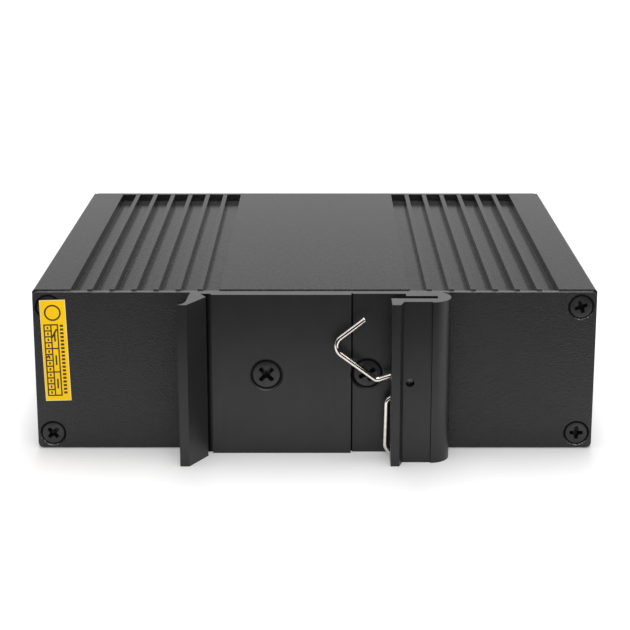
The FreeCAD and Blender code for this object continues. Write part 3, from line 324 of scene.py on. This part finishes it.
def spinRing(bm, ring, centre, axis, angle, steps):
    turned = bmesh.ops.spin(
        bm, geom=vertsOf(ring) + ring, cent=centre, axis=axis, angle=angle, steps=steps)["geom_last"]
    return [item for item in turned if isEdge(item)]


def bevelEdges(bm, edges, offset, segments):
    bmesh.ops.bevel(
        bm, geom=edges, offset=offset, segments=segments, affect="EDGES", profile=0.5, material=-1)


def finishPiece(bm, name, slot, body, replaced=None, scale=mm, sharpAngle=35):
    bmesh.ops.scale(bm, verts=bm.verts, vec=(scale, scale, scale))
    mesh = bpy.data.meshes.new(name)
    bm.to_mesh(mesh)
    bm.free()
    mesh.polygons.foreach_set("use_smooth", [True] * len(mesh.polygons))
    mesh.set_sharp_from_angle(angle=math.radians(sharpAngle))
    mesh.materials.append(finishes[slot])
    piece = bpy.data.objects.new(name, mesh)
    bpy.context.scene.collection.objects.link(piece)
    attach(piece, body)
    if replaced:
        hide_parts(replaced)
    return piece


def softenedCopy(node, name, slot, width, segments, sharpest):
    # merged copy of a CAD node; edges sharper than an angle are broken by a small radius
    bm = bmesh.new()
    bm.from_mesh(cadNodes[node].data)
    bmesh.ops.remove_doubles(bm, verts=bm.verts, dist=copying["merge"] * mm)
    flat = math.radians(copying["flatAngle"])
    bmesh.ops.dissolve_limit(bm, angle_limit=flat, verts=bm.verts, edges=bm.edges)
    piece = finishPiece(bm, name, slot, "case", node, scale=1.0)
    bevel = piece.modifiers.new("brokenEdges", "BEVEL")
    bevel.width = width * mm
    bevel.segments = segments
    bevel.limit_method = "ANGLE"
    bevel.angle_limit = math.radians(sharpest)
    normals = piece.modifiers.new("flatFaces", "WEIGHTED_NORMAL")
    normals.weight = copying["faceWeight"]
    normals.keep_sharp = True
    return piece


# screw sizes; a sunk ring round the head is painted near-black, a painted shade for the gap to the countersink,
# and the head rises a little over the plain one of the frame, so that this ring shows

endScrew = {
    "seat": 4.4, "head": 4.0, "ring": 4.52, "rise": 0.10, "shank": 2.4, "length": 8.0,
    "span": 2.5, "arm": 0.72, "depth": 1.5,
}
clipScrew = {
    "seat": 5.4, "head": 4.92, "ring": 5.66, "rise": 0.18, "shank": 2.9, "length": 6.0,
    "span": 3.35, "arm": 0.80, "depth": 1.8,
    "stepDepth": 0.68,     # the right screw sits on the lower part of the clip's base
}


def cornerSpots(node):
    # axes of four corner screws as seen from the rear: lower left, upper left, lower right, upper right
    low, high = boxOf(node)
    radius = endScrew["seat"] / 2
    return [(x, z) for x in (low.x + radius, high.x - radius) for z in (low.z + radius, high.z - radius)]


# case, plates and rail clip: CAD forms with broken edges

# node: piece, slot, radius in millimetres, segments, sharpest angle in degrees that stays as it is
edgeBreaks = {
    "case_tube": ("caseTubeShell", "case_coat", 0.14, 2, 40),
    "rear_plate": ("rearPlateSheet", "plate_coat", 0.32, 3, 60),
    "front_plate": ("frontPlateSheet", "plate_coat", 0.32, 3, 60),
    "din_clip": ("railClipProfile", "clip_anodised", 0.08, 2, 32),
    "spring_pin": ("springPinEnd", "black_screw", 0.10, 2, 40),
    "output_header": ("outputHeaderShell", "green_plastic", 0.12, 2, 40),
    "output_plug": ("outputPlugBody", "green_plastic", 0.16, 2, 40),
    "poe_jack_shield": ("poeJackCan", "tinned_sheet", 0.06, 1, 40),
    "data_jack_shield": ("dataJackCan", "tinned_sheet", 0.06, 1, 40),
    "status_leds": ("statusLightGuides", "led_lens", 0.10, 2, 40),
}
squareOn = 0.9       # share of a normal along an axis, above which a face looks that way
secondFinish = 1     # index of the finish that a piece has beside that of its slot
# saw-cut ends of the clip: saw lines, and a paler tone that is partly the cut and partly painted light from above
sawCutLitEnds = makeAnodised("sawCutLitEnds", anodised["sawStretch"], anodised["light"], anodised["sawCutLit"])
# painted shade: a near-black finish with little specular, for the ring round each screw head and the floor of the
# clip's step groove
shadedGap = makePlastic(
    "shadedGap", dark=(0.002, 0.002, 0.002), light=(0.005, 0.005, 0.005),
    roughness=(0.55, 0.70), grain=0.3, height=0.004, specular=0.08,
)
# painted shade for the groove at the jaw's root: near-black, with the specular fading in along X towards the
# groove's right rim
grooveShade = {
    "span": (-19.60, -18.95),      # along X, millimetres
    "specular": (0.04, 0.55),
    "deep": (0.002, 0.002, 0.002),
    "patch": 0.5,
}


def makeGrooveShade():
    # deep shade at the jaw, paler towards the groove's right rim
    look = grooveShade
    material, tree, shader = startMaterial("grooveShade", anodised["dark"], anodised["roughness"][1])
    place = objectPlace(tree)
    split = addNode(tree, "ShaderNodeSeparateXYZ")
    tree.links.new(place, split.inputs[0])
    span = [x * mm for x in look["span"]]
    fade = remap(tree, split.outputs["X"], span, look["specular"], interpolation_type="SMOOTHSTEP")
    tree.links.new(fade, shader.inputs["Specular IOR Level"])
    varyColour(tree, shader, noiseAt(tree, place, look["patch"]), look["deep"], anodised["dark"])
    return material


clipGrooves = {"hookRight": -18.5, "hookFloor": -42.5, "stepFloor": -42.0}     # millimetres
clipFaces = {"sawCutLit": 1, "hookGroove": 2, "stepGroove": 3}


def shadeClip(piece):
    # saw cuts at both ends paler, partly the cut and partly painted light from above; the grooves at the jaw's
    # root and at the step painted in shade
    for material in (sawCutLitEnds, makeGrooveShade(), shadedGap):
        piece.data.materials.append(material)
    for face in piece.data.polygons:
        middle = face.center / mm
        if abs(face.normal.z) > squareOn:
            face.material_index = clipFaces["sawCutLit"]
        elif face.normal.y > -squareOn:
            continue
        elif middle.x < clipGrooves["hookRight"] and middle.y > clipGrooves["hookFloor"]:
            face.material_index = clipFaces["hookGroove"]
        elif middle.y > clipGrooves["stepFloor"]:
            face.material_index = clipFaces["stepGroove"]


# countersink finish: near-black as painted shade, and at the lower rim flecks that are partly wear and partly a
# painted highlight
sinkCoat = {
    "shade": (0.003, 0.003, 0.003), "bareAndLit": (0.30, 0.29, 0.28), "roughness": 0.5, "shine": (0.06, 0.70),
    "fleck": 0.30, "fleckSpan": (0.48, 0.62), "fleckShare": (0.05, 1.0),
}
sinkWearAndLight = {
    "reach": 3.0,                         # from the screw's axis, millimetres
    "slope": (0.3, 0.9),                  # share of a cone face's normal along the screw
    "towards": (250, 290, 275, 285),      # worn and lit side of each countersink, degrees
    "falloff": 2,
}


def makeShadedWornLitSink():
    # painted shade: near-black with little specular, and where the rim attribute is high, bare flecks with more
    # specular, partly wear and partly a painted highlight
    look = sinkCoat
    material, tree, shader = startMaterial("shadedWornLitSink", look["shade"], look["roughness"])
    wearAndLight = addNode(tree, "ShaderNodeAttribute", attribute_name="wearAndLight").outputs["Fac"]
    specks = noiseAt(tree, objectPlace(tree), look["fleck"])
    rubbed = addNode(tree, "ShaderNodeMath", operation="MULTIPLY")
    tree.links.new(wearAndLight, rubbed.inputs[0])
    tree.links.new(remap(tree, specks, look["fleckSpan"], look["fleckShare"]), rubbed.inputs[1])
    varyColour(tree, shader, rubbed.outputs[0], look["shade"], look["bareAndLit"], span=(0, 1))
    tree.links.new(remap(tree, wearAndLight, (0, 1), look["shine"]), shader.inputs["Specular IOR Level"])
    return material


shadedWornLitSink = makeShadedWornLitSink()


def shadeSinks(piece, screwNode):
    # countersinks painted in shade, with bare flecks at the lower rim, partly wear where a driver has slipped and
    # partly a painted highlight where the slope faces up
    mesh = piece.data
    mesh.materials.append(shadedWornLitSink)
    wearAndLight = mesh.attributes.new("wearAndLight", "FLOAT", "POINT")
    steep, flat = sinkWearAndLight["slope"]
    across = Vector((1, 0, 1))
    for (x, z), towards in zip(cornerSpots(screwNode), sinkWearAndLight["towards"]):
        axis = Vector((x, 0, z))
        wornAndLit = Vector((math.cos(math.radians(towards)), 0, math.sin(math.radians(towards))))
        for face in mesh.polygons:
            away = (face.center / mm - axis) * across
            if away.length < sinkWearAndLight["reach"] and steep < abs(face.normal.y) < flat:
                face.material_index = secondFinish
        for vert in mesh.vertices:
            away = (vert.co / mm - axis) * across
            if 0 < away.length < sinkWearAndLight["reach"]:
                wearAndLight.data[vert.index].value = max(0, away.normalized().dot(wornAndLit)) ** sinkWearAndLight["falloff"]


def barePinEnd(piece):
    # the pin's end was never plated all over
    piece.data.materials.append(makeMetal(
        "pinEnd", dark=(0.04, 0.04, 0.04), light=(0.42, 0.41, 0.40),
        roughness=(0.35, 0.55), grain=0.45, height=0.02,
    ))
    for face in piece.data.polygons:
        if face.normal.y < -squareOn:
            face.material_index = secondFinish


for node, (name, slot, width, segments, sharpest) in edgeBreaks.items():
    piece = softenedCopy(node, name, slot, width, segments, sharpest)
    if node == "spring_pin":
        barePinEnd(piece)
    if node == "din_clip":
        shadeClip(piece)
    if node in ("rear_plate", "front_plate"):
        shadeSinks(piece, node + "_screws")
print("edges broken on", len(edgeBreaks), "pieces")


# screws: countersunk heads with a cross recess

screwShape = {
    "sides": 48, "edge": 0.05, "edgeSteps": 2, "ringDrop": 0.06,
    "recessEdge": 0.05, "recessSteps": 1, "recessFoot": 0.72,
    "armRound": 0.16, "armSteps": 2, "innerRound": 0.34, "innerSteps": 3,
    "sharpAngle": 28,
}
screwFaces = {"ring": 1, "recess": 2}
# turn of each cross recess in degrees: at the ends in the order of cornerSpots, on the clip left and right
rearTurns = (45, 60, 0, 20)
frontTurns = (30, 10, 75, 50)
clipTurns = (45, 28)
# painted shade: a darker copy of the screws' black plating, for the walls and floor of each cross recess
sunkShadePlating = makePlastic(
    "sunkShadePlating", dark=(0.006, 0.006, 0.006), light=(0.014, 0.014, 0.014),
    roughness=(0.30, 0.45), grain=0.3, height=0.02, specular=0.40,
)


def sinkRecess(screw, size):
    # a grid of nine fields, its inner lines set to the arm's width, is a cross without its corner fields
    shape = screwShape
    grid = bmesh.ops.create_grid(screw, x_segments=3, y_segments=3, size=size["span"] / 2)
    for vert in grid["verts"]:
        for axis in (0, 1):
            if abs(vert.co[axis]) < size["span"] / 3:
                vert.co[axis] = math.copysign(size["arm"] / 2, vert.co[axis])
    corners = [face for face in screw.faces if min(map(abs, face.calc_center_median().xy)) > size["arm"] / 2]
    bmesh.ops.delete(screw, geom=corners, context="FACES")
    top = list(screw.faces)
    floor = bmesh.ops.extrude_face_region(screw, geom=top)["geom"]
    foot = [item for item in floor if isVert(item)]
    bmesh.ops.delete(screw, geom=[face for face in top if face.is_valid], context="FACES_ONLY")
    bmesh.ops.translate(screw, verts=foot, vec=(0, 0, -size["depth"]))
    bmesh.ops.scale(screw, verts=foot, vec=(shape["recessFoot"], shape["recessFoot"], 1))
    upright = [edge for edge in screw.edges if reach(edge, 2) > size["depth"] / 2]
    inside = [edge for edge in upright if max(v.co.xy.length for v in edge.verts) < size["arm"]]
    ends = [edge for edge in upright if edge not in inside]
    bevelEdges(screw, ends, shape["armRound"], shape["armSteps"])
    bevelEdges(screw, [edge for edge in inside if edge.is_valid], shape["innerRound"], shape["innerSteps"])
    for face in screw.faces:
        face.material_index = screwFaces["recess"]
    return [edge for edge in screw.edges if len(edge.link_faces) == 1]


def addScrew(bm, size, matrix):
    # head face at Z 0 looking up, shank pointing down
    shape = screwShape
    screw = bmesh.new()
    mouth = sinkRecess(screw, size)
    rim = edgesOf(bmesh.ops.create_circle(screw, segments=shape["sides"], radius=size["head"] / 2)["verts"])
    bmesh.ops.triangle_fill(screw, use_beauty=True, edges=mouth + rim)
    drop = shape["ringDrop"]
    sunk = (0, 0, -drop)
    ring = pushRing(screw, rim, sunk)
    headFaces = set(screw.faces)
    ring = pushRing(screw, ring, growth=size["ring"] / size["head"], centre=sunk)
    for face in set(screw.faces) - headFaces:
        face.material_index = screwFaces["ring"]
    taper = (size["ring"] - size["shank"]) / 2
    ring = pushRing(screw, ring, (0, 0, -taper), size["shank"] / size["ring"], sunk)
    ring = pushRing(screw, ring, (0, 0, drop + taper - size["length"]))
    bmesh.ops.contextual_create(screw, geom=ring)
    bevelEdges(screw, rim, shape["edge"], shape["edgeSteps"])
    bevelEdges(screw, [edge for edge in mouth if edge.is_valid], shape["recessEdge"], shape["recessSteps"])
    bmesh.ops.recalc_face_normals(screw, faces=screw.faces)
    bmesh.ops.translate(screw, verts=screw.verts, vec=(0, 0, size["rise"]))
    bmesh.ops.transform(screw, matrix=matrix, verts=screw.verts)
    draft = bpy.data.meshes.new("screwDraft")
    screw.to_mesh(draft)
    screw.free()
    bm.from_mesh(draft)
    bpy.data.meshes.remove(draft)


def facing(turn, front):
    # head face of a screw turned to the rear, or to the front
    toRear = Matrix.Rotation(math.radians(90), 4, "X")
    around = Matrix.Rotation(math.pi if front else 0, 4, "Z")
    return around @ toRear @ Matrix.Rotation(math.radians(turn), 4, "Z")


def finishScrews(bm, name, node):
    piece = finishPiece(bm, name, "black_screw", "case", node, sharpAngle=screwShape["sharpAngle"])
    # painted shade in the ring round each head, and a darker copy of the plating as painted shade in each recess
    piece.data.materials.append(shadedGap)
    piece.data.materials.append(sunkShadePlating)


def makeEndScrews(node, name, turns, front):
    low, high = boxOf(node)
    headPlane = high.y if front else low.y
    bm = bmesh.new()
    for (x, z), turn in zip(cornerSpots(node), turns):
        addScrew(bm, endScrew, Matrix.Translation((x, headPlane, z)) @ facing(turn, front))
    finishScrews(bm, name, node)


def makeClipScrews():
    low, high = boxOf("clip_screws")
    radius = clipScrew["seat"] / 2
    height = (low.z + high.z) / 2
    spots = ((low.x + radius, low.y), (high.x - radius, low.y + clipScrew["stepDepth"]))
    bm = bmesh.new()
    for (x, y), turn in zip(spots, clipTurns):
        addScrew(bm, clipScrew, Matrix.Translation((x, y, height)) @ facing(turn, False))
    finishScrews(bm, "clipScrewPair", "clip_screws")


makeEndScrews("rear_plate_screws", "rearCornerScrews", rearTurns, False)
makeEndScrews("front_plate_screws", "frontCornerScrews", frontTurns, True)
makeClipScrews()
print("screws made")


# spring: one bent wire, drawn above its axis and mirrored

springWire = {
    "thickness": 1.0,
    "sides": 24,
    "loop": 1.35,         # radius of the wire's middle line round the pin
    "loopSteps": 16,
    "leg": (-5.6, 0, 2.2),
    "arm": (-10.5, 0, 11.8),
    "tail": (-2.4, 0, 13.6),
    "legBend": 1.2,
    "armBend": 2.0,
    "bendStep": 6,        # degrees of one step in a bend
    "fewestSteps": 6,
    "swing": 25.9,
    "cutEdge": 0.12,
    "cutSteps": 3,
    "sharpAngle": 40,
}


def bendWire(bm, ring, here, heading, corners, radii):
    # straight runs joined by arcs that touch both
    for corner, after, radius in zip(corners, corners[1:], radii):
        onward = (after - corner).normalized()
        turn = heading.angle(onward)
        run = radius * math.tan(turn / 2)
        ring = pushRing(bm, ring, corner - heading * run - here)
        inward = (onward - heading * heading.dot(onward)).normalized()
        centre = corner - heading * run + inward * radius
        steps = max(springWire["fewestSteps"], round(math.degrees(turn) / springWire["bendStep"]))
        ring = spinRing(bm, ring, centre, heading.cross(onward), turn, steps)
        here = corner + onward * run
        heading = onward
    return pushRing(bm, ring, corners[-1] - here)


def makeSpring():
    wire = springWire
    leg, arm, tail = (Vector(wire[name]) for name in ("leg", "arm", "tail"))
    lean = math.atan2(leg.z, -leg.x) - math.asin(wire["loop"] / leg.length)
    touch = Vector((math.sin(lean), 0, math.cos(lean))) * wire["loop"]
    bm = bmesh.new()
    start = bmesh.ops.create_circle(bm, segments=wire["sides"], radius=wire["thickness"] / 2)["verts"]
    bmesh.ops.translate(bm, verts=start, vec=(wire["loop"], 0, 0))
    ring = spinRing(bm, edgesOf(start), (0, 0, 0), (0, -1, 0), math.pi / 2 - lean, wire["loopSteps"])
    heading = (leg - touch).normalized()
    end = bendWire(bm, ring, touch, heading, [leg, arm, tail], [wire["legBend"], wire["armBend"]])
    bmesh.ops.contextual_create(bm, geom=end)
    bevelEdges(bm, end, wire["cutEdge"], wire["cutSteps"])
    bmesh.ops.mirror(bm, geom=bm.verts[:] + bm.edges[:] + bm.faces[:], axis="Z", merge_dist=mergeGap)
    bmesh.ops.remove_doubles(bm, verts=bm.verts, dist=mergeGap)
    bmesh.ops.recalc_face_normals(bm, faces=bm.faces)
    swung = Matrix.Translation(pinPlace) @ Matrix.Rotation(-math.radians(wire["swing"]), 4, "Y")
    bmesh.ops.transform(bm, matrix=swung, verts=bm.verts)
    return finishPiece(
        bm, "bentWireSpring", "spring_wire", "spring", "clip_spring", sharpAngle=wire["sharpAngle"])


spring = makeSpring()
print("spring bent")


# seal: yellow vinyl with a plain printed grid

seal = {
    "width": 4.75, "height": 19.5, "thick": 0.1, "tilt": 1.5, "corner": 0.08, "cornerSteps": 2,
    "border": 0.11,       # cut edge where the paper core shows
}
cutPaper = {
    "name": "cutPaper", "dark": (0.93, 0.78, 0.40), "light": (0.9765, 0.819, 0.42),
    "roughness": (0.70, 0.80), "grain": 0.3, "height": 0.01,
}
# the print is measured from the seal's upper left corner
sealPrint = {
    "lift": 0.012,        # thickness of the ink
    "line": 0.25,
    "gridTop": 4.75,
    "gridBottom": 18.45,
    "gridColumns": (0.58, 1.85, 3.05),
    "longCells": 3,
    "shortCells": 12,
    "shortMark": (0.30, 0.46),
    "longMark": (0.30, 1.90),
    "barColumn": (3.48, 4.10),
    "barCount": 19,
    "barShare": 0.58,
    "ringCentre": (2.30, 2.45),
    "ringRadius": 1.55,
    "ringLine": 0.30,
    "ringSides": 48,
    "strokes": (((1.95, 7.2), (2.85, 5.6)), ((0.50, 11.15), (1.20, 10.7))),
    "strokeWidth": 0.30,
}
sealInks = {
    "printInk": {"dark": (0.030, 0.020, 0.004), "light": (0.054, 0.036, 0.0072)},
    "penInk": {"dark": (0.085, 0.022, 0.010), "light": (0.153, 0.0396, 0.018)},
}
inkSurface = {"roughness": (0.50, 0.62), "grain": 0.5, "height": 0.002}


def sealPlace():
    low, high = boxOf("seal_sticker")
    middle = (low + high) / 2
    tilt = Matrix.Rotation(-math.radians(seal["tilt"]), 4, "Y")
    return Matrix.Translation((middle.x, low.y, middle.z)) @ tilt


def makeSeal():
    bm = bmesh.new()
    bmesh.ops.create_cube(bm, size=1.0)
    bmesh.ops.scale(bm, verts=bm.verts, vec=(seal["width"], seal["thick"], seal["height"]))
    bmesh.ops.translate(bm, verts=bm.verts, vec=(0, seal["thick"] / 2, 0))
    depthEdges = [edge for edge in bm.edges if reach(edge, 1) > seal["thick"] / 2]
    bevelEdges(bm, depthEdges, seal["corner"], seal["cornerSteps"])
    front = [face for face in bm.faces if face.calc_center_median().y < seal["thick"] / 4]
    bmesh.ops.inset_region(bm, faces=front, thickness=seal["border"])
    for face in bm.faces:
        face.material_index = 0 if face in front else secondFinish
    bmesh.ops.transform(bm, matrix=sealPlace(), verts=bm.verts)
    piece = finishPiece(bm, "yellowSeal", "yellow_sticker", "case", "seal_sticker")
    piece.data.materials.append(makePlastic(**cutPaper))


def addBlock(bm, left, right, top, bottom):
    # one field of ink
    lift = sealPrint["lift"]
    verts = bmesh.ops.create_cube(bm, size=1.0)["verts"]
    bmesh.ops.scale(bm, verts=verts, vec=(right - left, lift, bottom - top))
    middle = ((left + right - seal["width"]) / 2, -lift / 2, (seal["height"] - top - bottom) / 2)
    bmesh.ops.translate(bm, verts=verts, vec=middle)


def addRing(bm, centre, radius, line):
    # a flat ring: its section is drawn once round, from the outer edge back to itself
    lift, sides = sealPrint["lift"], sealPrint["ringSides"]
    around = Matrix.Rotation(math.radians(90), 4, "X")
    ring = edgesOf(bmesh.ops.create_circle(bm, segments=sides, radius=radius, matrix=around)["verts"])
    flat = pushRing(bm, ring, growth=(radius - line) / radius)
    up = pushRing(bm, flat, (0, -lift, 0))
    wide = pushRing(bm, up, growth=radius / (radius - line), centre=(0, -lift, 0))
    back = pushRing(bm, wide, (0, lift, 0))
    place = (centre[0] - seal["width"] / 2, 0, seal["height"] / 2 - centre[1])
    bmesh.ops.translate(bm, verts=vertsOf(ring + flat + up + wide + back), vec=place)


def addStroke(bm, start, end, width):
    # one slanting pen stroke, drawn as a block that is turned and moved to its place
    lift = sealPrint["lift"]
    run = Vector((end[0] - start[0], 0, start[1] - end[1]))
    verts = bmesh.ops.create_cube(bm, size=1.0)["verts"]
    bmesh.ops.scale(bm, verts=verts, vec=(run.length, lift, width))
    turn = Matrix.Rotation(-math.atan2(run.z, run.x), 3, "Y")
    bmesh.ops.rotate(bm, verts=verts, matrix=turn)
    across = (start[0] + end[0] - seal["width"]) / 2
    up = (seal["height"] - start[1] - end[1]) / 2
    bmesh.ops.translate(bm, verts=verts, vec=(across, -1.5 * lift, up))     # on top of the printed ink
    for face in {face for vert in verts for face in vert.link_faces}:
        face.material_index = secondFinish


def addCells(bm, cells, left, right, mark):
    # one column of the grid: lines across it, and a mark in the middle of each cell
    top, bottom = sealPrint["gridTop"], sealPrint["gridBottom"]
    half = sealPrint["line"] / 2
    wide, tall = mark
    step = (bottom - top) / cells
    for number in range(cells + 1):
        y = top + number * step
        addBlock(bm, left + half, right - half, y - half, y + half)
    for number in range(cells):
        x, y = (left + right) / 2, top + (number + 0.5) * step
        addBlock(bm, x - wide / 2, x + wide / 2, y - tall / 2, y + tall / 2)


def makeSealPrint():
    ink = sealPrint
    bm = bmesh.new()
    top, bottom = ink["gridTop"], ink["gridBottom"]
    half = ink["line"] / 2
    left, middle, right = ink["gridColumns"]
    for x in ink["gridColumns"]:
        addBlock(bm, x - half, x + half, top - half, bottom + half)
    addCells(bm, ink["shortCells"], left, middle, ink["shortMark"])
    addCells(bm, ink["longCells"], middle, right, ink["longMark"])
    step = (bottom - top) / ink["barCount"]
    for number in range(ink["barCount"]):
        addBlock(bm, *ink["barColumn"], top + number * step, top + (number + ink["barShare"]) * step)
    addRing(bm, ink["ringCentre"], ink["ringRadius"], ink["ringLine"])
    for start, end in ink["strokes"]:
        addStroke(bm, start, end, ink["strokeWidth"])
    bmesh.ops.remove_doubles(bm, verts=bm.verts, dist=mergeGap)
    bmesh.ops.recalc_face_normals(bm, faces=bm.faces)
    bmesh.ops.transform(bm, matrix=sealPlace(), verts=bm.verts)
    piece = finishPiece(bm, "sealPrint", "yellow_sticker", "case")
    piece.data.materials.clear()
    for name, colours in sealInks.items():
        piece.data.materials.append(makePlastic(name, **colours, **inkSurface))


makeSeal()
makeSealPrint()
print("seal and print made")


# stage: white floor, soft light, camera at the photograph's angle; in metres, the camera's place excepted

def whiteToEye(tree):
    # 1 for rays that show the background: seen directly, mirrored or through glass
    path = addNode(tree, "ShaderNodeLightPath")
    total = path.outputs["Is Camera Ray"]
    for name in ("Is Glossy Ray", "Is Transmission Ray"):
        bigger = addNode(tree, "ShaderNodeMath", operation="MAXIMUM")
        tree.links.new(total, bigger.inputs[0])
        tree.links.new(path.outputs[name], bigger.inputs[1])
        total = bigger.outputs[0]
    return total


def addSheet(bm, name, material):
    mesh = bpy.data.meshes.new(name)
    bm.to_mesh(mesh)
    bm.free()
    mesh.materials.append(material)
    sheet = bpy.data.objects.new(name, mesh)
    bpy.context.scene.collection.objects.link(sheet)
    return sheet


paleFloor = {"size": 6.0, "colour": (0.84, 0.84, 0.84), "glow": 0.16}


def makeFloor():
    material = bpy.data.materials.new("paleFloor")
    material.use_nodes = True
    tree = material.node_tree
    tree.nodes.clear()
    matt = addNode(tree, "ShaderNodeBsdfDiffuse", {"Color": (*paleFloor["colour"], 1)})
    glow = addNode(tree, "ShaderNodeEmission")
    strength = addNode(tree, "ShaderNodeMath", operation="MULTIPLY")
    strength.inputs[1].default_value = paleFloor["glow"]
    both = addNode(tree, "ShaderNodeAddShader")
    output = addNode(tree, "ShaderNodeOutputMaterial")
    tree.links.new(whiteToEye(tree), strength.inputs[0])
    tree.links.new(strength.outputs[0], glow.inputs["Strength"])
    tree.links.new(matt.outputs[0], both.inputs[0])
    tree.links.new(glow.outputs[0], both.inputs[1])
    tree.links.new(both.outputs[0], output.inputs["Surface"])
    bm = bmesh.new()
    bmesh.ops.create_grid(bm, x_segments=1, y_segments=1, size=paleFloor["size"] / 2)
    addSheet(bm, "paleFloor", material)


# dark card in front of the clip, seen in reflections alone
darkCard = {"place": -0.104, "half": 0.16, "height": 0.062, "colour": (0.020, 0.012, 0.008)}


def makeDarkCard():
    halfHeight = darkCard["height"] / 2
    bm = bmesh.new()
    bmesh.ops.create_grid(bm, x_segments=1, y_segments=1, size=1)
    bmesh.ops.scale(bm, verts=bm.verts, vec=(darkCard["half"], halfHeight, 1))
    upright = Matrix.Rotation(math.pi / 2, 4, "X")
    standing = Matrix.Translation((0, darkCard["place"], halfHeight)) @ upright
    bmesh.ops.transform(bm, matrix=standing, verts=bm.verts)
    material = startMaterial("darkCard", darkCard["colour"], roughness=1.0, specular=0.0)[0]
    card = addSheet(bm, "darkCard", material)
    card.visible_camera = False
    card.visible_diffuse = False
    card.visible_shadow = False


skyFill = 0.66     # strength of the sky as a light; it looks white


def makeSky():
    world = bpy.data.worlds.new("studioSky")
    bpy.context.scene.world = world
    world.use_nodes = True
    tree = world.node_tree
    sky = tree.nodes["Background"]
    sky.inputs["Color"].default_value = (1, 1, 1, 1)
    tree.links.new(remap(tree, whiteToEye(tree), (0, 1), (skyFill, 1)), sky.inputs["Strength"])


lampAim = (0.0, 0.0, 0.015)
softboxes = {
    "keySoftbox": {"place": (0.02, 0.34, 1.00), "size": (0.36, 0.90), "power": 7.5},
    "fillSoftbox": {"place": (0.08, -0.56, 0.58), "size": (0.50, 0.40), "power": 1.4},
    "stripSoftbox": {"place": (0.43, -0.06, 0.29), "size": (0.65, 0.20), "power": 0.9, "lights": spring},
}


def addSoftbox(name, place, size, power, lights=None):
    lamp = bpy.data.lights.new(name, "AREA")
    lamp.shape = "RECTANGLE"
    lamp.size, lamp.size_y = size
    lamp.energy = power
    box = bpy.data.objects.new(name, lamp)
    box.location = place
    box.rotation_euler = (Vector(lampAim) - Vector(place)).to_track_quat("-Z", "Y").to_euler()
    bpy.context.scene.collection.objects.link(box)
    if lights:     # its light is kept for one piece
        receivers = bpy.data.collections.new(name + "Only")
        receivers.objects.link(lights)
        box.light_linking.receiver_collection = receivers


photoCamera = {
    "place": (1.08, -314.25, 110.85),   # millimetres
    "pitch": 13.721,                    # degrees below the horizon
    "lens": 88.93,
    "sensor": 36.0,
    "shift": (-0.0088, -0.15),
    "clip": (0.01, 50),
}


def makeCamera():
    lens = bpy.data.cameras.new("photoCamera")
    lens.sensor_width = photoCamera["sensor"]
    lens.lens = photoCamera["lens"]
    lens.shift_x, lens.shift_y = photoCamera["shift"]
    lens.clip_start, lens.clip_end = photoCamera["clip"]
    camera = bpy.data.objects.new("photoCamera", lens)
    camera.location = Vector(photoCamera["place"]) * mm
    camera.rotation_euler = (math.radians(90 - photoCamera["pitch"]), 0, 0)
    bpy.context.scene.collection.objects.link(camera)
    bpy.context.scene.camera = camera


makeFloor()
makeDarkCard()
makeSky()
for name, settings in softboxes.items():
    addSoftbox(name, **settings)
makeCamera()
bpy.context.scene.view_settings.view_transform = "Standard"
print("stage set")

bpy.context.view_layer.update()
